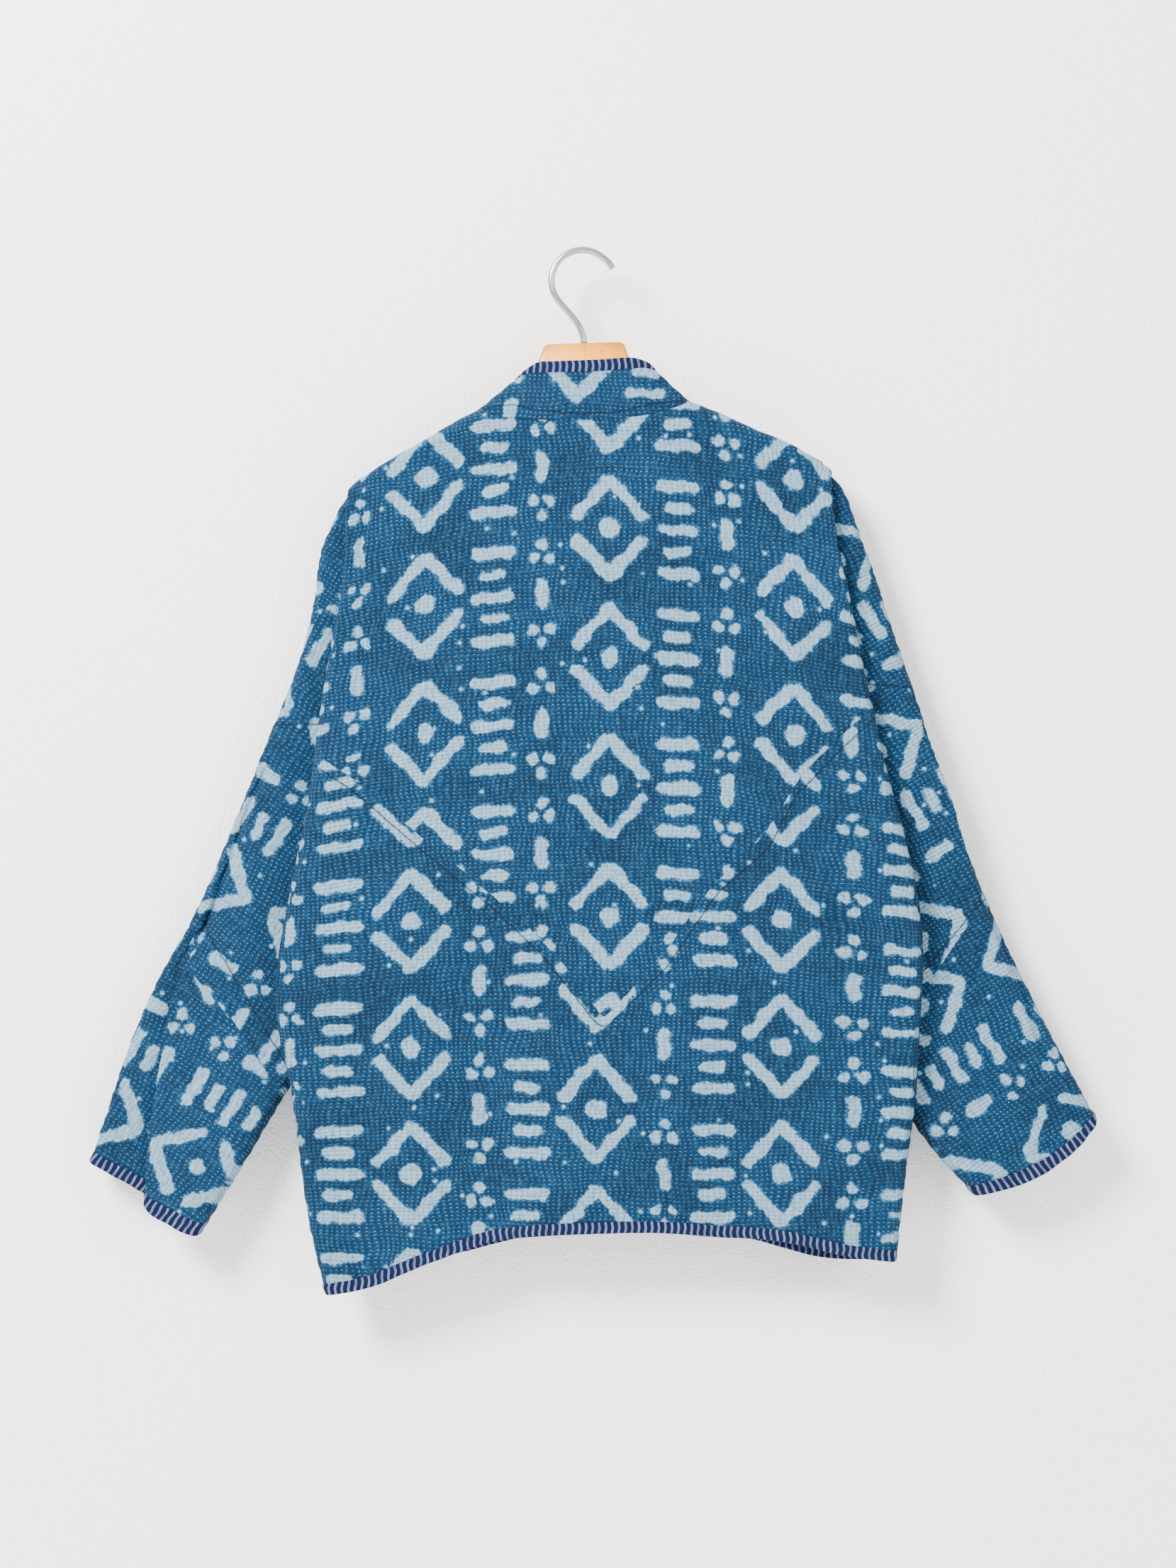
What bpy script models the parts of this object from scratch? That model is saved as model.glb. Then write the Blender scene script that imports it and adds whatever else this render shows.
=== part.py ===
"""A quilted kantha jacket on a wooden hanger.

Metres, +Z up. The jacket's back faces -Y and its fronts face +Y. The origin is the underside
of the hook's crown, where a rail or peg carries the hanger. Tables are in millimetres.
"""

import math

import bpy
import bmesh

MM = 0.001

# Cloth.
WALL = 2.4
BINDING_WALL = 2.9
BINDING_PROUD = 0.5
BINDING_WIDTH = 9.0
SEAM_GAP = 0.4

# The round of the shoulder over the hanger's arms.
RIDGE_REACH = 12.0
RIDGE_SQUARENESS = 2.4
RIDGE_DROPS = (0, 0.35, 2.5, 6.5, 12.5, 24)
ROLL_DROPS = (0, 2, 5, 9, 15, 26)
SHOULDER_START = 0.4

# Underarms, and places round the body's section. Places count its corners from the left front's
# edge round the back, and on the right side they are 9 less the left side's.
UNDERARM_LEFT = -419.5
UNDERARM_RIGHT = -383.5
TOP_LEVEL = -150.0
SIDE_SEAM_PLACE = 1.5
SIDE_SEAM_PLACE_GAP = 0.01
ARMHOLE_PLACE = 1.33
TAIL_END_PLACE = 2.25
BACK_ENDS = (4.25, 4.75)
FOLD_PLACES = (2.25, 2.75, 3, 3.25, 3.8, 3.9, 4, 4.1)
SIDE_PLACES = (1.5, 1.75, 2)
ROLL_PLACES = (0.85, 0.95, 1.1, 1.25)

# How far below the shoulder line each column of the roll starts.
ROLL_CUTS = {0.75: 0, 1: 3, 1.25: 14, 1.5: 30, 2.25: 38, 2.75: 30, 3: 22, 3.25: 14, 4: 3, 4.25: 0}

# Turns of the neck's columns. The back's open one leads to the V seam's point.
NECK_BACK_TURNS = (-90, -70, -50, -34, -19, -7, None, 18, 32, 49, 70, 90)
NECK_FRONT_TURNS = (168, 158, 145, 130, 110, 90)

# The V seam's point on the back.
V_POINT_X, V_POINT_Z = 20.5, -664.5

# Levels of the body. The folds are the back's visible edges, the sides are where the cloth
# behind them turns forward, and back, recess and front are places of outer faces along Y.
BODY = """
z     left_fold  left_side  right_side  right_fold  back  recess  front  belly
-190  -203       -200       216         219.5       -12   -4      11     6
-212  -203       -199       213         219.5       -15.5 -7.9    12     6
-235  -204       -193       211         221.5       -18.5 -9      14     6
-265  -204.6     -190       210         226.5       -20   -9      16     7
-300  -208       -188       210         234         -22   -8.5    18     7
-345  -216       -187       212         242.5       -24   -8      20     7
-395  -224.5     -188       214.5       253.5       -26   -7.5    21.5   7
-437  -230.5     -189.5     219         262.5       -28   -7.5    22.5   6
-475  -235       -192.5     222.5       272.5       -29   -7.5    23     6
-515  -243       -196       227         283         -30   -7.5    24     6
-548  -249.5     -199.5     231         291         -30   -7.5    24     6
-583  -256       -204       236         296         -30   -7.5    24     6
-619  -262       -209       241.5       298         -30   -7.5    24     6
-649  -265       -214       247         296.5       -30   -7.5    24     6
-671  -262.5     -219.5     251         295         -30   -8      24     5
-692  -256.5     -228       256         293.7       -30   -9      24     5
-720  -252.5     -238       265         292.3       -30   -10     24     5
-745  -248       -234       273         290.5       -30   -10     24     5
-790  -243       -229       271         284       -29   -8      24     5
-860  -232       -218       262.5       276.5       -28   -7      23     5
-912  -219       -205.5     256         269       -27   -7      22     5
"""

# Height of the shoulders, from the left corner to the right one.
RIDGE = """
x       z
-203    -209.6
-196.5  -200.3
-179    -188.5
-143.8  -168
-131.4  -161.8
-107.3  -145.7
-90.2   -138
97.2    -130.8
145     -151.3
173.6   -162.4
208.3   -179.8
220.1   -191.6
"""

# The neck seam and the collar's top edge, by the turn in degrees from the back's middle.
NECK = """
turn  seam    top
-168  -181    -145
-150  -169    -134
-120  -150    -114
-105  -141    -108
-90   -138    -107.3
-70   -139.5  -104
-49   -144.5  -97.6
-27   -147    -96.5
-6    -148.2  -96.1
18    -146.3  -95
43    -141.4  -93
62    -133.3  -95.2
90    -130.8  -101.7
105   -134    -103
120   -144    -109
150   -165    -130
168   -178    -142
"""
NECK_END_TURN = 168
NECK_MIDDLE = 3.5
NECK_HALF_WIDTH = 93.7
NECK_BACK_REACH = 20.0
NECK_FRONT_REACH = 21.0
COLLAR_TOP_MIDDLE = 5.6
COLLAR_TOP_HALF_WIDTH = 57.7
COLLAR_TOP_BACK_REACH = 15.5
COLLAR_TOP_FRONT_REACH = 19.0
COLLAR_BAND_SHARE = 0.81
COLLAR_SEAM_SHARE = 0.012
COLLAR_SEAM_SIDE_SHARE = 0.044

# The V seam under the back yoke, and the hems of the back and the fronts.
V_SEAM = """
x      z
-231   -437
-191   -463
-136   -510.5
-69    -565.5
-26    -606
20.5   -664.5
68     -617
112    -553
156    -514.5
180    -469
220    -428
255    -396
"""
BACK_HEM = """
x      z
-220   -906.5
-185   -900.5
-161   -890.5
-115   -872.5
-68    -858
-10    -852.5
61     -851
131    -856
173    -858.5
212    -868
243.5  -874
272    -877.5
"""
FRONT_HEM = """
x      z
-220   -906.5
-120   -880
-10    -858
61     -856
131    -861
173    -871
212    -881
243.5  -883
272    -877.5
"""
OPENING = """
z     left   right
-183  -16    23
-500  -17    25
-912  -20    30
"""

# The sleeves' heads and tubes: the outer edge, the inner edge, and the outer faces along Y.
LEFT_HEAD = """
share  outer_x  outer_z  inner_x  inner_z  back  front
0      -198     -209     -192.5   -214.5   -4.8  5
0.08   -206     -216.5   -199     -221     -5.4  6.6
0.2    -217     -238     -194     -245     -5.8  9.6
0.34   -227.5   -263.5   -190.8   -268     -6    12
0.5    -231.5   -297     -188.9   -299     -6    14
0.68   -240     -336     -187.7   -338     -5.8  16
0.84   -252     -374     -188     -375     -5.4  17.5
1      -271     -419.3   -190     -419.3   -5    19
"""
RIGHT_HEAD = """
share  outer_x  outer_z  inner_x  inner_z  back  front
0      213.5    -192.5   208.5    -198     -4.4  4.8
0.08   225      -199.5   217      -204     -5.4  6.6
0.2    236      -220.5   213      -228     -5.8  9.6
0.34   244      -244     211.2    -249     -6    12
0.5    256      -275.3   210.9    -278     -6    14
0.68   268      -312     211.3    -314     -5.8  16
0.84   279      -344.5   212.8    -345     -5.4  17.5
1      294.3    -388.3   214.9    -381.8   -5    19
"""
LEFT_SLEEVE = """
share  outer_x  outer_z  inner_x  inner_z  back  front  lobe  under  lean  sag  bow
0      -271.2   -419.8   -190.8   -419.8   -5    19     30    -5     -6    0    0
0.2    -300     -490     -195.5   -497     -5    19     25    -4.8   -6    0    0
0.38   -329     -559     -205.8   -580     -5    20     20    -4     -4    0    0
0.45   -343     -588     -212     -620     -5    21     17    2      -2    0    0
0.5    -353.5   -606     -217     -645     -5    21.5   16    5.4    0     0    0
0.58   -371.5   -637     -226     -681     -5.5  23     18    5.4    1     0    0
0.72   -398.5   -701     -262     -741     -7.5  24     32    5      1     2    0
0.87   -416     -753     -299     -802     -12   25     42    4      1     7    0
1      -430     -795     -330     -850     -15   26     57    3      1     12   0
"""
RIGHT_SLEEVE = """
share  outer_x  outer_z  inner_x  inner_z  back  front  lobe  under  lean  sag  bow
0      294.5    -388.8   215.8    -382.3   -5    19     20    -5     -3    0    0
0.15   307.5    -430     221      -440     -5    19     20    -5     -3    0    0
0.35   339      -522     233      -545     -5    20     20    -5     -3    0    0
0.52   371.5    -600     247.6    -640     -5    21     20    -5     -3    0    0
0.68   403      -664     268      -715     -5.5  23     20    -5.5   -3    0    0
0.84   430.9    -718     303      -776     -9    25     20    -9     -3    0    5
1      451.5    -756     345      -823     -13   26     20    -13    -3    0    17
"""

# Places round the sleeves' sections, and shares down the heads.
HEAD_PLACES = (0.25, 0.5, 0.75, 0.9, 1.1, 1.25, 1.75, 1.9, 2.1, 2.25, 2.5, 2.75)
HEAD_SHARES = (0, 0.06, 0.14, 0.24, 0.36, 0.5, 0.65, 0.82, 1)
SLEEVE_OUTER_PLACES = (
    -0.12, 0.12, 0.25, 0.38, 0.5, 0.62, 0.75, 0.9, 1, 1.1, 1.25, 1.75, 1.9, 2, 2.1, 2.25, 2.5,
)
SLEEVE_STEP_PLACES = (2.75, 3, 3.25, 3.75, 3.9, 4, 4.1, 4.25)
SLEEVE_FLAT_PLACES = (3, 4.1)
SLEEVE_NEAR_PLACES = (4.4, 4.6, 4.75, 4.9, 5.05, 5.2, 5.88)
SLEEVE_GAP_SHARE = 0.0012
CUFF_SHARE = 0.9728
CUFF_BOW_LEAN = 0.75

# Share along each sleeve of its slanted seam: at the outer edge, the near lobe's edge and the
# inner edge.
LEFT_SEAM = (0.455, 0.54, 0.69)
RIGHT_SEAM = (0.455, 0.475, 0.62)

# The hanger's board. Its arms follow the shoulders, and its neck and lower edge are outlines.
BOARD_HALF_THICKNESS = 6.5
BOARD_CHAMFER = 4.3
BOARD_ARM_SHARE = 0.8
BOARD_TOP_SHARE = 0.3
BOARD_BELOW_RIDGE = 3.9
BOARD_NECK_TOP = -81.5
BOARD_NECK_FOOT = -125.0
BOARD_LEFT_SHOULDER = (-188, -172.6, -145.1, -117.6)
BOARD_RIGHT_SHOULDER = (127, 156.8, 186.6, 205)
BOARD_NECK = (
    (-92, -152), (-70, -142), (-50, -128), (-43, -116), (-40, -106), (-35, -92), (-31.5, -82),
    (-28, -80), (35, -78), (38.5, -80), (43, -92), (47, -104), (51, -116), (60, -129),
    (80, -140), (104, -147),
)
BOARD_LOWER = (
    (208, -189), (203, -196), (145, -182), (97, -166), (50, -152), (25, -146), (4, -144),
    (-20, -146), (-42, -152), (-90, -171), (-145, -199), (-184, -214), (-190, -209),
)

# The hook: a rod bent round a circle, with a stem that swings back over the hanger's middle.
ROD_RADIUS = 3.0
HOOK_RADIUS = 27.0
HOOK_CENTRE = (2.0, -24.0)
HOOK_TIP_ANGLE = 22
HOOK_LEAVE_ANGLE = 213
HOOK_STEPS = 22
STEM_STEPS = 12
STEM_SWING = 16.0
STEM_BEND = (2.6, -60.0)
STEM_FOOT = (3.5, -78.6)

COLOURS = {
    "cotton": (0.023, 0.147, 0.319, 1),
    "binding": (0.008, 0.016, 0.05, 1),
    "beech": (0.745, 0.434, 0.195, 1),
    "steel": (0.5, 0.5, 0.52, 1),
}


def table(text):
    """Columns of a table by name. The first column is the key that the others are read by."""
    lines = text.split("\n")[1:-1]
    names = lines[0].split()
    rows = [[float(value) for value in line.split()] for line in lines[1:]]
    rows.sort()
    return {name: [row[i] for row in rows] for i, name in enumerate(names)}


def clamp(value, low, high):
    return max(low, min(high, value))


def mix(a, b, share):
    return a + (b - a) * share


def smoothstep(share):
    share = clamp(share, 0.0, 1.0)
    return share * share * (3 - 2 * share)


def slope_at(keys, values, i):
    """Slope of a smooth curve at a row, flat where the rows turn."""
    if i == 0 or i == len(keys) - 1:
        a, b = (0, 1) if i == 0 else (i - 1, i)
        return (values[b] - values[a]) / (keys[b] - keys[a])
    before = (values[i] - values[i - 1]) / (keys[i] - keys[i - 1])
    after = (values[i + 1] - values[i]) / (keys[i + 1] - keys[i])
    if before * after <= 0:
        return 0.0
    return 2 * before * after / (before + after)


def read(columns, name, key, straight=False):
    """A column's value at a key, on a smooth or a straight line between the rows."""
    keys = next(iter(columns.values()))
    values = columns[name]
    key = clamp(key, keys[0], keys[-1])
    i = 0
    while i < len(keys) - 2 and key > keys[i + 1]:
        i += 1
    width = keys[i + 1] - keys[i]
    t = (key - keys[i]) / width
    if straight:
        return mix(values[i], values[i + 1], t)
    first = slope_at(keys, values, i) * width
    last = slope_at(keys, values, i + 1) * width
    rise = values[i + 1] - values[i]
    return values[i] + t * (first + t * (3 * rise - 2 * first - last + t * (first + last - 2 * rise)))


BODY = table(BODY)
RIDGE = table(RIDGE)
NECK = table(NECK)
V_SEAM = table(V_SEAM)
BACK_HEM = table(BACK_HEM)
FRONT_HEM = table(FRONT_HEM)
OPENING = table(OPENING)


def along(corners, radii, place):
    """A point on a path with rounded corners. A whole place is the middle of that corner's
    bend, and half a place further is the middle of the straight run after it."""
    count = len(corners)

    def bend(i):
        corner = corners[i % count]
        ends = []
        for other in (corners[(i - 1) % count], corners[(i + 1) % count]):
            length = math.dist(corner, other)
            share = min(radii[i % count], 0.46 * length) / length if length else 0.0
            ends.append((mix(corner[0], other[0], share), mix(corner[1], other[1], share)))
        return ends[0], corner, ends[1]

    i = math.floor(place + 0.25)
    offset = place - i
    if offset <= 0.25:
        start, corner, end = bend(i)
        t = (offset + 0.25) / 0.5
        return tuple(
            (1 - t) ** 2 * start[k] + 2 * t * (1 - t) * corner[k] + t * t * end[k] for k in (0, 1)
        )
    t = (offset - 0.25) / 0.5
    start = bend(i)[2]
    end = bend(i + 1)[0]
    return (mix(start[0], end[0], t), mix(start[1], end[1], t))


def body_corners(z):
    """Corners and bend radii of the body's section, from the left front edge round the back."""
    level = {name: read(BODY, name, z) for name in BODY}
    fold = (level["recess"] - level["back"]) / 2
    roll = clamp(level["front"] * 0.45, 4, 9)
    side = 3.5
    corners = (
        (read(OPENING, "left", z), level["front"]),
        (level["left_side"], level["front"]),
        (level["left_side"], level["recess"]),
        (level["left_fold"], level["recess"]),
        (level["left_fold"], level["back"]),
        (level["right_fold"], level["back"]),
        (level["right_fold"], level["recess"]),
        (level["right_side"], level["recess"]),
        (level["right_side"], level["front"]),
        (read(OPENING, "right", z), level["front"]),
    )
    radii = (0, roll, side, fold, fold, fold, fold, side, roll, 0)
    return corners, radii, level["belly"]


def fullness(share):
    """How far the cloth swells between its edges, 0 at both ends of a run and 1 inside."""
    return smoothstep(min(share, 1 - share) / 0.42)


def hang(x, z, back):
    """Soft hanging folds of the back or of the fronts, outwards."""
    low = smoothstep((-z - 420) / 380)
    if back:
        folds = 3.0 * math.sin(x / 37.0 + 0.7) + 2.0 * math.sin(x / 19.0 + z / 260.0)
    else:
        folds = 2.6 * math.sin(x / 33.0 + 2.1) + 1.8 * math.sin(x / 21.0 - z / 300.0)
    return folds * (0.25 + 0.75 * low)


def body_level(place, z):
    """The body's outer face at a level, before the shoulders round it off."""
    corners, radii, belly = body_corners(z)
    x, y = along(corners, radii, place)
    if 4.25 <= place <= 4.75:
        swell = fullness((place - 4.25) * 2)
        y -= swell * (belly + hang(x, z, True))
    if place < 0.75 or place > 8.25:
        share = (0.75 - place if place < 1 else place - 8.25) * 2
        swell = smoothstep(share / 0.42)
        y += swell * (belly * 0.6 + hang(x, z, False) * smoothstep((0.99 - share) / 0.1 + 0.1))
    return x, y


def mirrored(place):
    """The left side's place that matches a place on either side."""
    return place if place <= 4.5 else 9 - place


def cut_below_shoulder(place):
    keys = sorted(ROLL_CUTS)
    columns = {"place": keys, "cut": [ROLL_CUTS[key] for key in keys]}
    return read(columns, "cut", mirrored(place), straight=True)


def neck_turn(x):
    return math.degrees(math.asin(clamp((x - NECK_MIDDLE) / NECK_HALF_WIDTH, -1, 1)))


def neck_point(turn):
    """A point of the neck seam."""
    angle = math.radians(turn)
    reach = NECK_BACK_REACH if abs(turn) <= 90 else NECK_FRONT_REACH
    x = NECK_MIDDLE + NECK_HALF_WIDTH * math.sin(angle)
    return x, -reach * math.cos(angle), read(NECK, "seam", turn)


def body_top(place):
    """Height of a column's top edge and how far it stands from the hanger's plane."""
    x = body_level(place, TOP_LEVEL)[0]
    inner = mirrored(place)
    if 0.75 < inner < 4.25:
        return read(RIDGE, "z", x) - cut_below_shoulder(place), 0.0
    if abs(x - NECK_MIDDLE) < NECK_HALF_WIDTH:
        turn = neck_turn(x)
        if inner < 4:
            turn = 180 - turn if turn > 0 else -180 - turn
        top = neck_point(turn)
        return top[2], top[1]
    return read(RIDGE, "z", x), 0.0


def shoulder_round(drop):
    """Share of the full depth at a drop below the shoulder line."""
    rest = 1 - clamp(drop / RIDGE_REACH, 0, 1)
    return (1 - rest ** RIDGE_SQUARENESS) ** (1 / RIDGE_SQUARENESS)


def body_point(place, z):
    """The body's outer face in millimetres."""
    x, y = body_level(place, z)
    top, start = body_top(place)
    side = -1 if y < 0 else 1
    if 0.75 < mirrored(place) < 4.25:
        top += cut_below_shoulder(place)
    start = side * max(abs(start), SHOULDER_START)
    y = mix(start, y, shoulder_round(top - z)) if abs(start) < abs(y) else max(start, y, key=abs)
    return x, y, z


def underarm(place):
    return UNDERARM_LEFT if place < 4.5 else UNDERARM_RIGHT


def hem_level(place, x):
    inner = mirrored(place)
    if inner >= 4:
        return read(BACK_HEM, "z", x)
    if inner <= 1:
        return read(FRONT_HEM, "z", x)
    return BACK_HEM["z"][0] if place < 4.5 else BACK_HEM["z"][-1]


def settle(place, level_of):
    """The level where a column crosses a line that is given by X."""
    z = -600.0
    for _ in range(8):
        z = level_of(body_level(place, z)[0])
    return z


def v_level(place):
    """The yoke's lower edge: the V seam, and behind the folds up to the sleeve's cross seam."""
    inner = mirrored(place)
    if inner >= 4:
        return settle(place, lambda x: read(V_SEAM, "z", x, straight=True))
    fold = settle(4 if place < 4.5 else 5, lambda x: read(V_SEAM, "z", x, straight=True))
    return mix(underarm(place), fold, (inner - TAIL_END_PLACE) / (4 - TAIL_END_PLACE))


def levels(top, bottom, drops, count):
    """Levels down a column: the drops given, then even steps to the bottom."""
    upper = [top - drop for drop in drops]
    return upper + [mix(upper[-1], bottom, (k + 1) / count) for k in range(count)]


def sheet(name, columns, rows, point, wall, colour, proud=0.0, closed=False):
    """A cloth wall: a grid of points on the outer face, thickened inwards."""
    shape = bmesh.new()
    wide = len(columns) - 1
    high = rows - 1
    bmesh.ops.create_grid(shape, x_segments=wide, y_segments=high, size=1)
    for vertex in shape.verts:
        i = round((vertex.co.x + 1) / 2 * wide)
        j = round((1 - vertex.co.y) / 2 * high)
        vertex.co = [value * MM for value in point(columns[i], j)]
    if closed:
        bmesh.ops.remove_doubles(shape, verts=shape.verts, dist=1e-6)
    mesh = bpy.data.meshes.new(name)
    shape.to_mesh(mesh)
    shape.free()
    mesh.shade_smooth()
    part = add_part(name, mesh, colour)
    thicken = part.modifiers.new("Wall", "SOLIDIFY")
    thicken.thickness = wall * MM
    thicken.offset = -1 + 2 * proud / wall
    thicken.use_even_offset = True
    thicken.use_quality_normals = True
    return part


def add_part(name, data, colour):
    part = bpy.data.objects.new(name, data)
    data.materials.append(material(colour))
    bpy.data.collections["kantha_jacket"].objects.link(part)
    return part


def material(name):
    found = bpy.data.materials.get(name)
    if found:
        return found
    made = bpy.data.materials.new(name)
    made.use_nodes = True
    surface = made.node_tree.nodes["Principled BSDF"]
    surface.inputs["Base Color"].default_value = COLOURS[name]
    surface.inputs["Roughness"].default_value = 0.3 if name == "steel" else 0.85
    surface.inputs["Metallic"].default_value = 1.0 if name == "steel" else 0.0
    return made


def spread(first, last, count):
    return [mix(first, last, k / count) for k in range(count + 1)]


def back_turns():
    """Turns of the back's columns at the neck."""
    left, right = (body_level(place, TOP_LEVEL)[0] for place in BACK_ENDS)
    low_left, low_right = (body_level(place, V_POINT_Z)[0] for place in BACK_ENDS)
    middle = mix(left, right, (V_POINT_X - low_left) / (low_right - low_left))
    return [neck_turn(middle) if turn is None else turn for turn in NECK_BACK_TURNS]


def neck_x(turn):
    return NECK_MIDDLE + NECK_HALF_WIDTH * math.sin(math.radians(turn))


def back_run():
    """Places across the back's run, closest together at the neck's sides."""
    left, right = (body_level(place, TOP_LEVEL)[0] for place in BACK_ENDS)
    marks = [mix(left, neck_x(-90), k / 4) for k in range(4)]
    marks += [neck_x(turn) for turn in back_turns()]
    marks += [mix(neck_x(90), right, k / 4) for k in range(1, 5)]
    return [4.25 + 0.5 * (x - left) / (right - left) for x in marks]


def front_run(left_side):
    """Places across a front, from its edge to the roll at its side."""
    sign = -1 if left_side else 1
    places = (0.25, 0.75) if left_side else (8.75, 8.25)
    edge, side = (body_level(place, TOP_LEVEL)[0] for place in places)
    marks = [neck_x(sign * turn) for turn in NECK_FRONT_TURNS]
    marks += [mix(marks[-1], side, k / 4) for k in range(1, 5)]
    return [mix(places[0], places[1], (x - edge) / (side - edge)) for x in marks]


def build_body():
    run = back_run()
    yoke_places = [*FOLD_PLACES, *run, *(9 - place for place in reversed(FOLD_PLACES))]
    yoke_rows = {}
    for place in yoke_places:
        top = body_top(place)[0]
        drops = RIDGE_DROPS if 4.25 <= place <= 4.75 else ROLL_DROPS
        top -= SEAM_GAP if abs(body_top(place)[1]) > 0 else 0
        yoke_rows[place] = levels(top, v_level(place) + SEAM_GAP, drops, 9)
    sheet(
        "back_yoke", yoke_places, len(RIDGE_DROPS) + 9,
        lambda place, j: body_point(place, yoke_rows[place][j]), WALL, "cotton",
    )

    half = SIDE_PLACES + FOLD_PLACES
    lower_places = [*half, *run, *(9 - place for place in reversed(half))]
    lower_rows = {}
    for place in lower_places:
        behind = mirrored(place) < TAIL_END_PLACE
        top = (underarm(place) if behind else v_level(place)) - SEAM_GAP
        bottom = settle(place, lambda x: hem_level(place, x)) + BINDING_WIDTH + SEAM_GAP
        lower_rows[place] = levels(top, bottom, (0,), 10)

    def lower_point(place, j):
        seam = SIDE_SEAM_PLACE_GAP if mirrored(place) == SIDE_SEAM_PLACE else 0
        return body_point(place + (seam if place < 4.5 else -seam), lower_rows[place][j])

    sheet("back_lower", lower_places, 11, lower_point, WALL, "cotton")

    roll = (*ROLL_PLACES, SIDE_SEAM_PLACE)
    build_front("front_left", [*front_run(True), *roll])
    right_roll = [9 - place for place in reversed(roll)]
    build_front("front_right", [*right_roll, *reversed(front_run(False))])

    turn_in = ROLL_PLACES + SIDE_PLACES + FOLD_PLACES
    hem_places = [*front_run(True), *turn_in, *run]
    hem_places += [*(9 - place for place in reversed(turn_in)), *reversed(front_run(False))]
    hems = {place: settle(place, lambda x: hem_level(place, x)) for place in hem_places}
    sheet(
        "hem_binding", hem_places, 2,
        lambda place, j: body_point(place, hems[place] + BINDING_WIDTH * (1 - j)),
        BINDING_WALL, "binding", BINDING_PROUD,
    )


def side_edge_place(z, left):
    """Where a front's side edge lies: round its roll at the armhole, at the seam under it."""
    low = UNDERARM_LEFT if left else UNDERARM_RIGHT
    share = smoothstep((z - low - 2) / 25)
    return mix(SIDE_SEAM_PLACE - SIDE_SEAM_PLACE_GAP, ARMHOLE_PLACE, share)


def build_front(name, places):
    left = name == "front_left"
    rows = {}
    for place in places:
        top, start = body_top(place)
        inner = mirrored(place)
        drops = RIDGE_DROPS if inner <= 0.75 else ROLL_DROPS
        top -= SEAM_GAP if abs(start) > 0 else 0
        if inner == SIDE_SEAM_PLACE:
            top = body_top(ARMHOLE_PLACE if left else 9 - ARMHOLE_PLACE)[0]
        bottom = settle(place, lambda x: hem_level(place, x)) + BINDING_WIDTH + SEAM_GAP
        rows[place] = levels(top, bottom, drops, 14)

    def point(place, j):
        z = rows[place][j]
        if mirrored(place) == SIDE_SEAM_PLACE:
            edge = side_edge_place(z, left)
            return body_point(edge if left else 9 - edge, z)
        return body_point(place, z)

    sheet(name, places, len(RIDGE_DROPS) + 14, point, WALL, "cotton")


def collar_point(turn, rise):
    """The collar's outer face, from the neck seam at 0 to the top edge at 1."""
    x, y, z = neck_point(turn)
    angle = math.radians(turn)
    reach = COLLAR_TOP_BACK_REACH if abs(turn) <= 90 else COLLAR_TOP_FRONT_REACH
    top_x = COLLAR_TOP_MIDDLE + COLLAR_TOP_HALF_WIDTH * math.sin(angle)
    top_y = -reach * math.cos(angle)
    return (
        mix(x, top_x, rise), mix(y, top_y, rise),
        mix(z + SEAM_GAP / 2, read(NECK, "top", turn), rise),
    )


def build_collar():
    front = NECK_FRONT_TURNS[:-1]
    turns = [-turn for turn in front] + back_turns() + list(reversed(front))
    band = spread(0, COLLAR_BAND_SHARE, 3)
    sheet("collar", turns, 4, lambda turn, j: collar_point(turn, band[3 - j]), WALL, "cotton")

    def binding_point(turn, j):
        side = math.sin(math.radians(turn)) ** 4
        lower = COLLAR_BAND_SHARE + mix(COLLAR_SEAM_SHARE, COLLAR_SEAM_SIDE_SHARE, side)
        return collar_point(turn, mix(1, lower, j))

    sheet("collar_binding", turns, 2, binding_point, BINDING_WALL, "binding", BINDING_PROUD)


def build_front_bindings():
    """Edging from each front's hem up to the top of the collar's end."""
    for name, place, sign in (("front_left_binding", 0.25, 1), ("front_right_binding", 8.75, -1)):
        hem = settle(place, lambda x: hem_level(place, x))
        neck = body_top(place)[0]
        edge = [collar_point(-sign * NECK_END_TURN, rise) for rise in (1, 0.66, 0.33, 0.06)]
        drops = (6, 13, 24)
        edge += [body_point(place, z) for z in levels(neck, hem, drops, 15)]

        def point(column, j, edge=edge, sign=sign):
            x, y, z = edge[j]
            return x + sign * (SEAM_GAP + BINDING_WIDTH * column), y, z

        columns = [0, 1] if sign < 0 else [1, 0]
        sheet(name, columns, len(edge), point, BINDING_WALL, "binding", BINDING_PROUD)


def head_point(rows, share, place):
    """A sleeve head's outer face. Its section is open at the armhole, from the front round
    the outer edge to the back."""
    r = {name: read(rows, name, share) for name in rows}
    width = math.hypot(r["inner_x"] - r["outer_x"], r["inner_z"] - r["outer_z"])
    round_edge = min(0.48 * (r["front"] - r["back"]), 0.45 * width)
    corners = ((width, r["front"]), (0, r["front"]), (0, r["back"]), (width, r["back"]))
    a, y = along(corners, (0, round_edge, round_edge, 0), place)
    return (
        mix(r["outer_x"], r["inner_x"], a / width), y, mix(r["outer_z"], r["inner_z"], a / width),
    )


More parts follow.
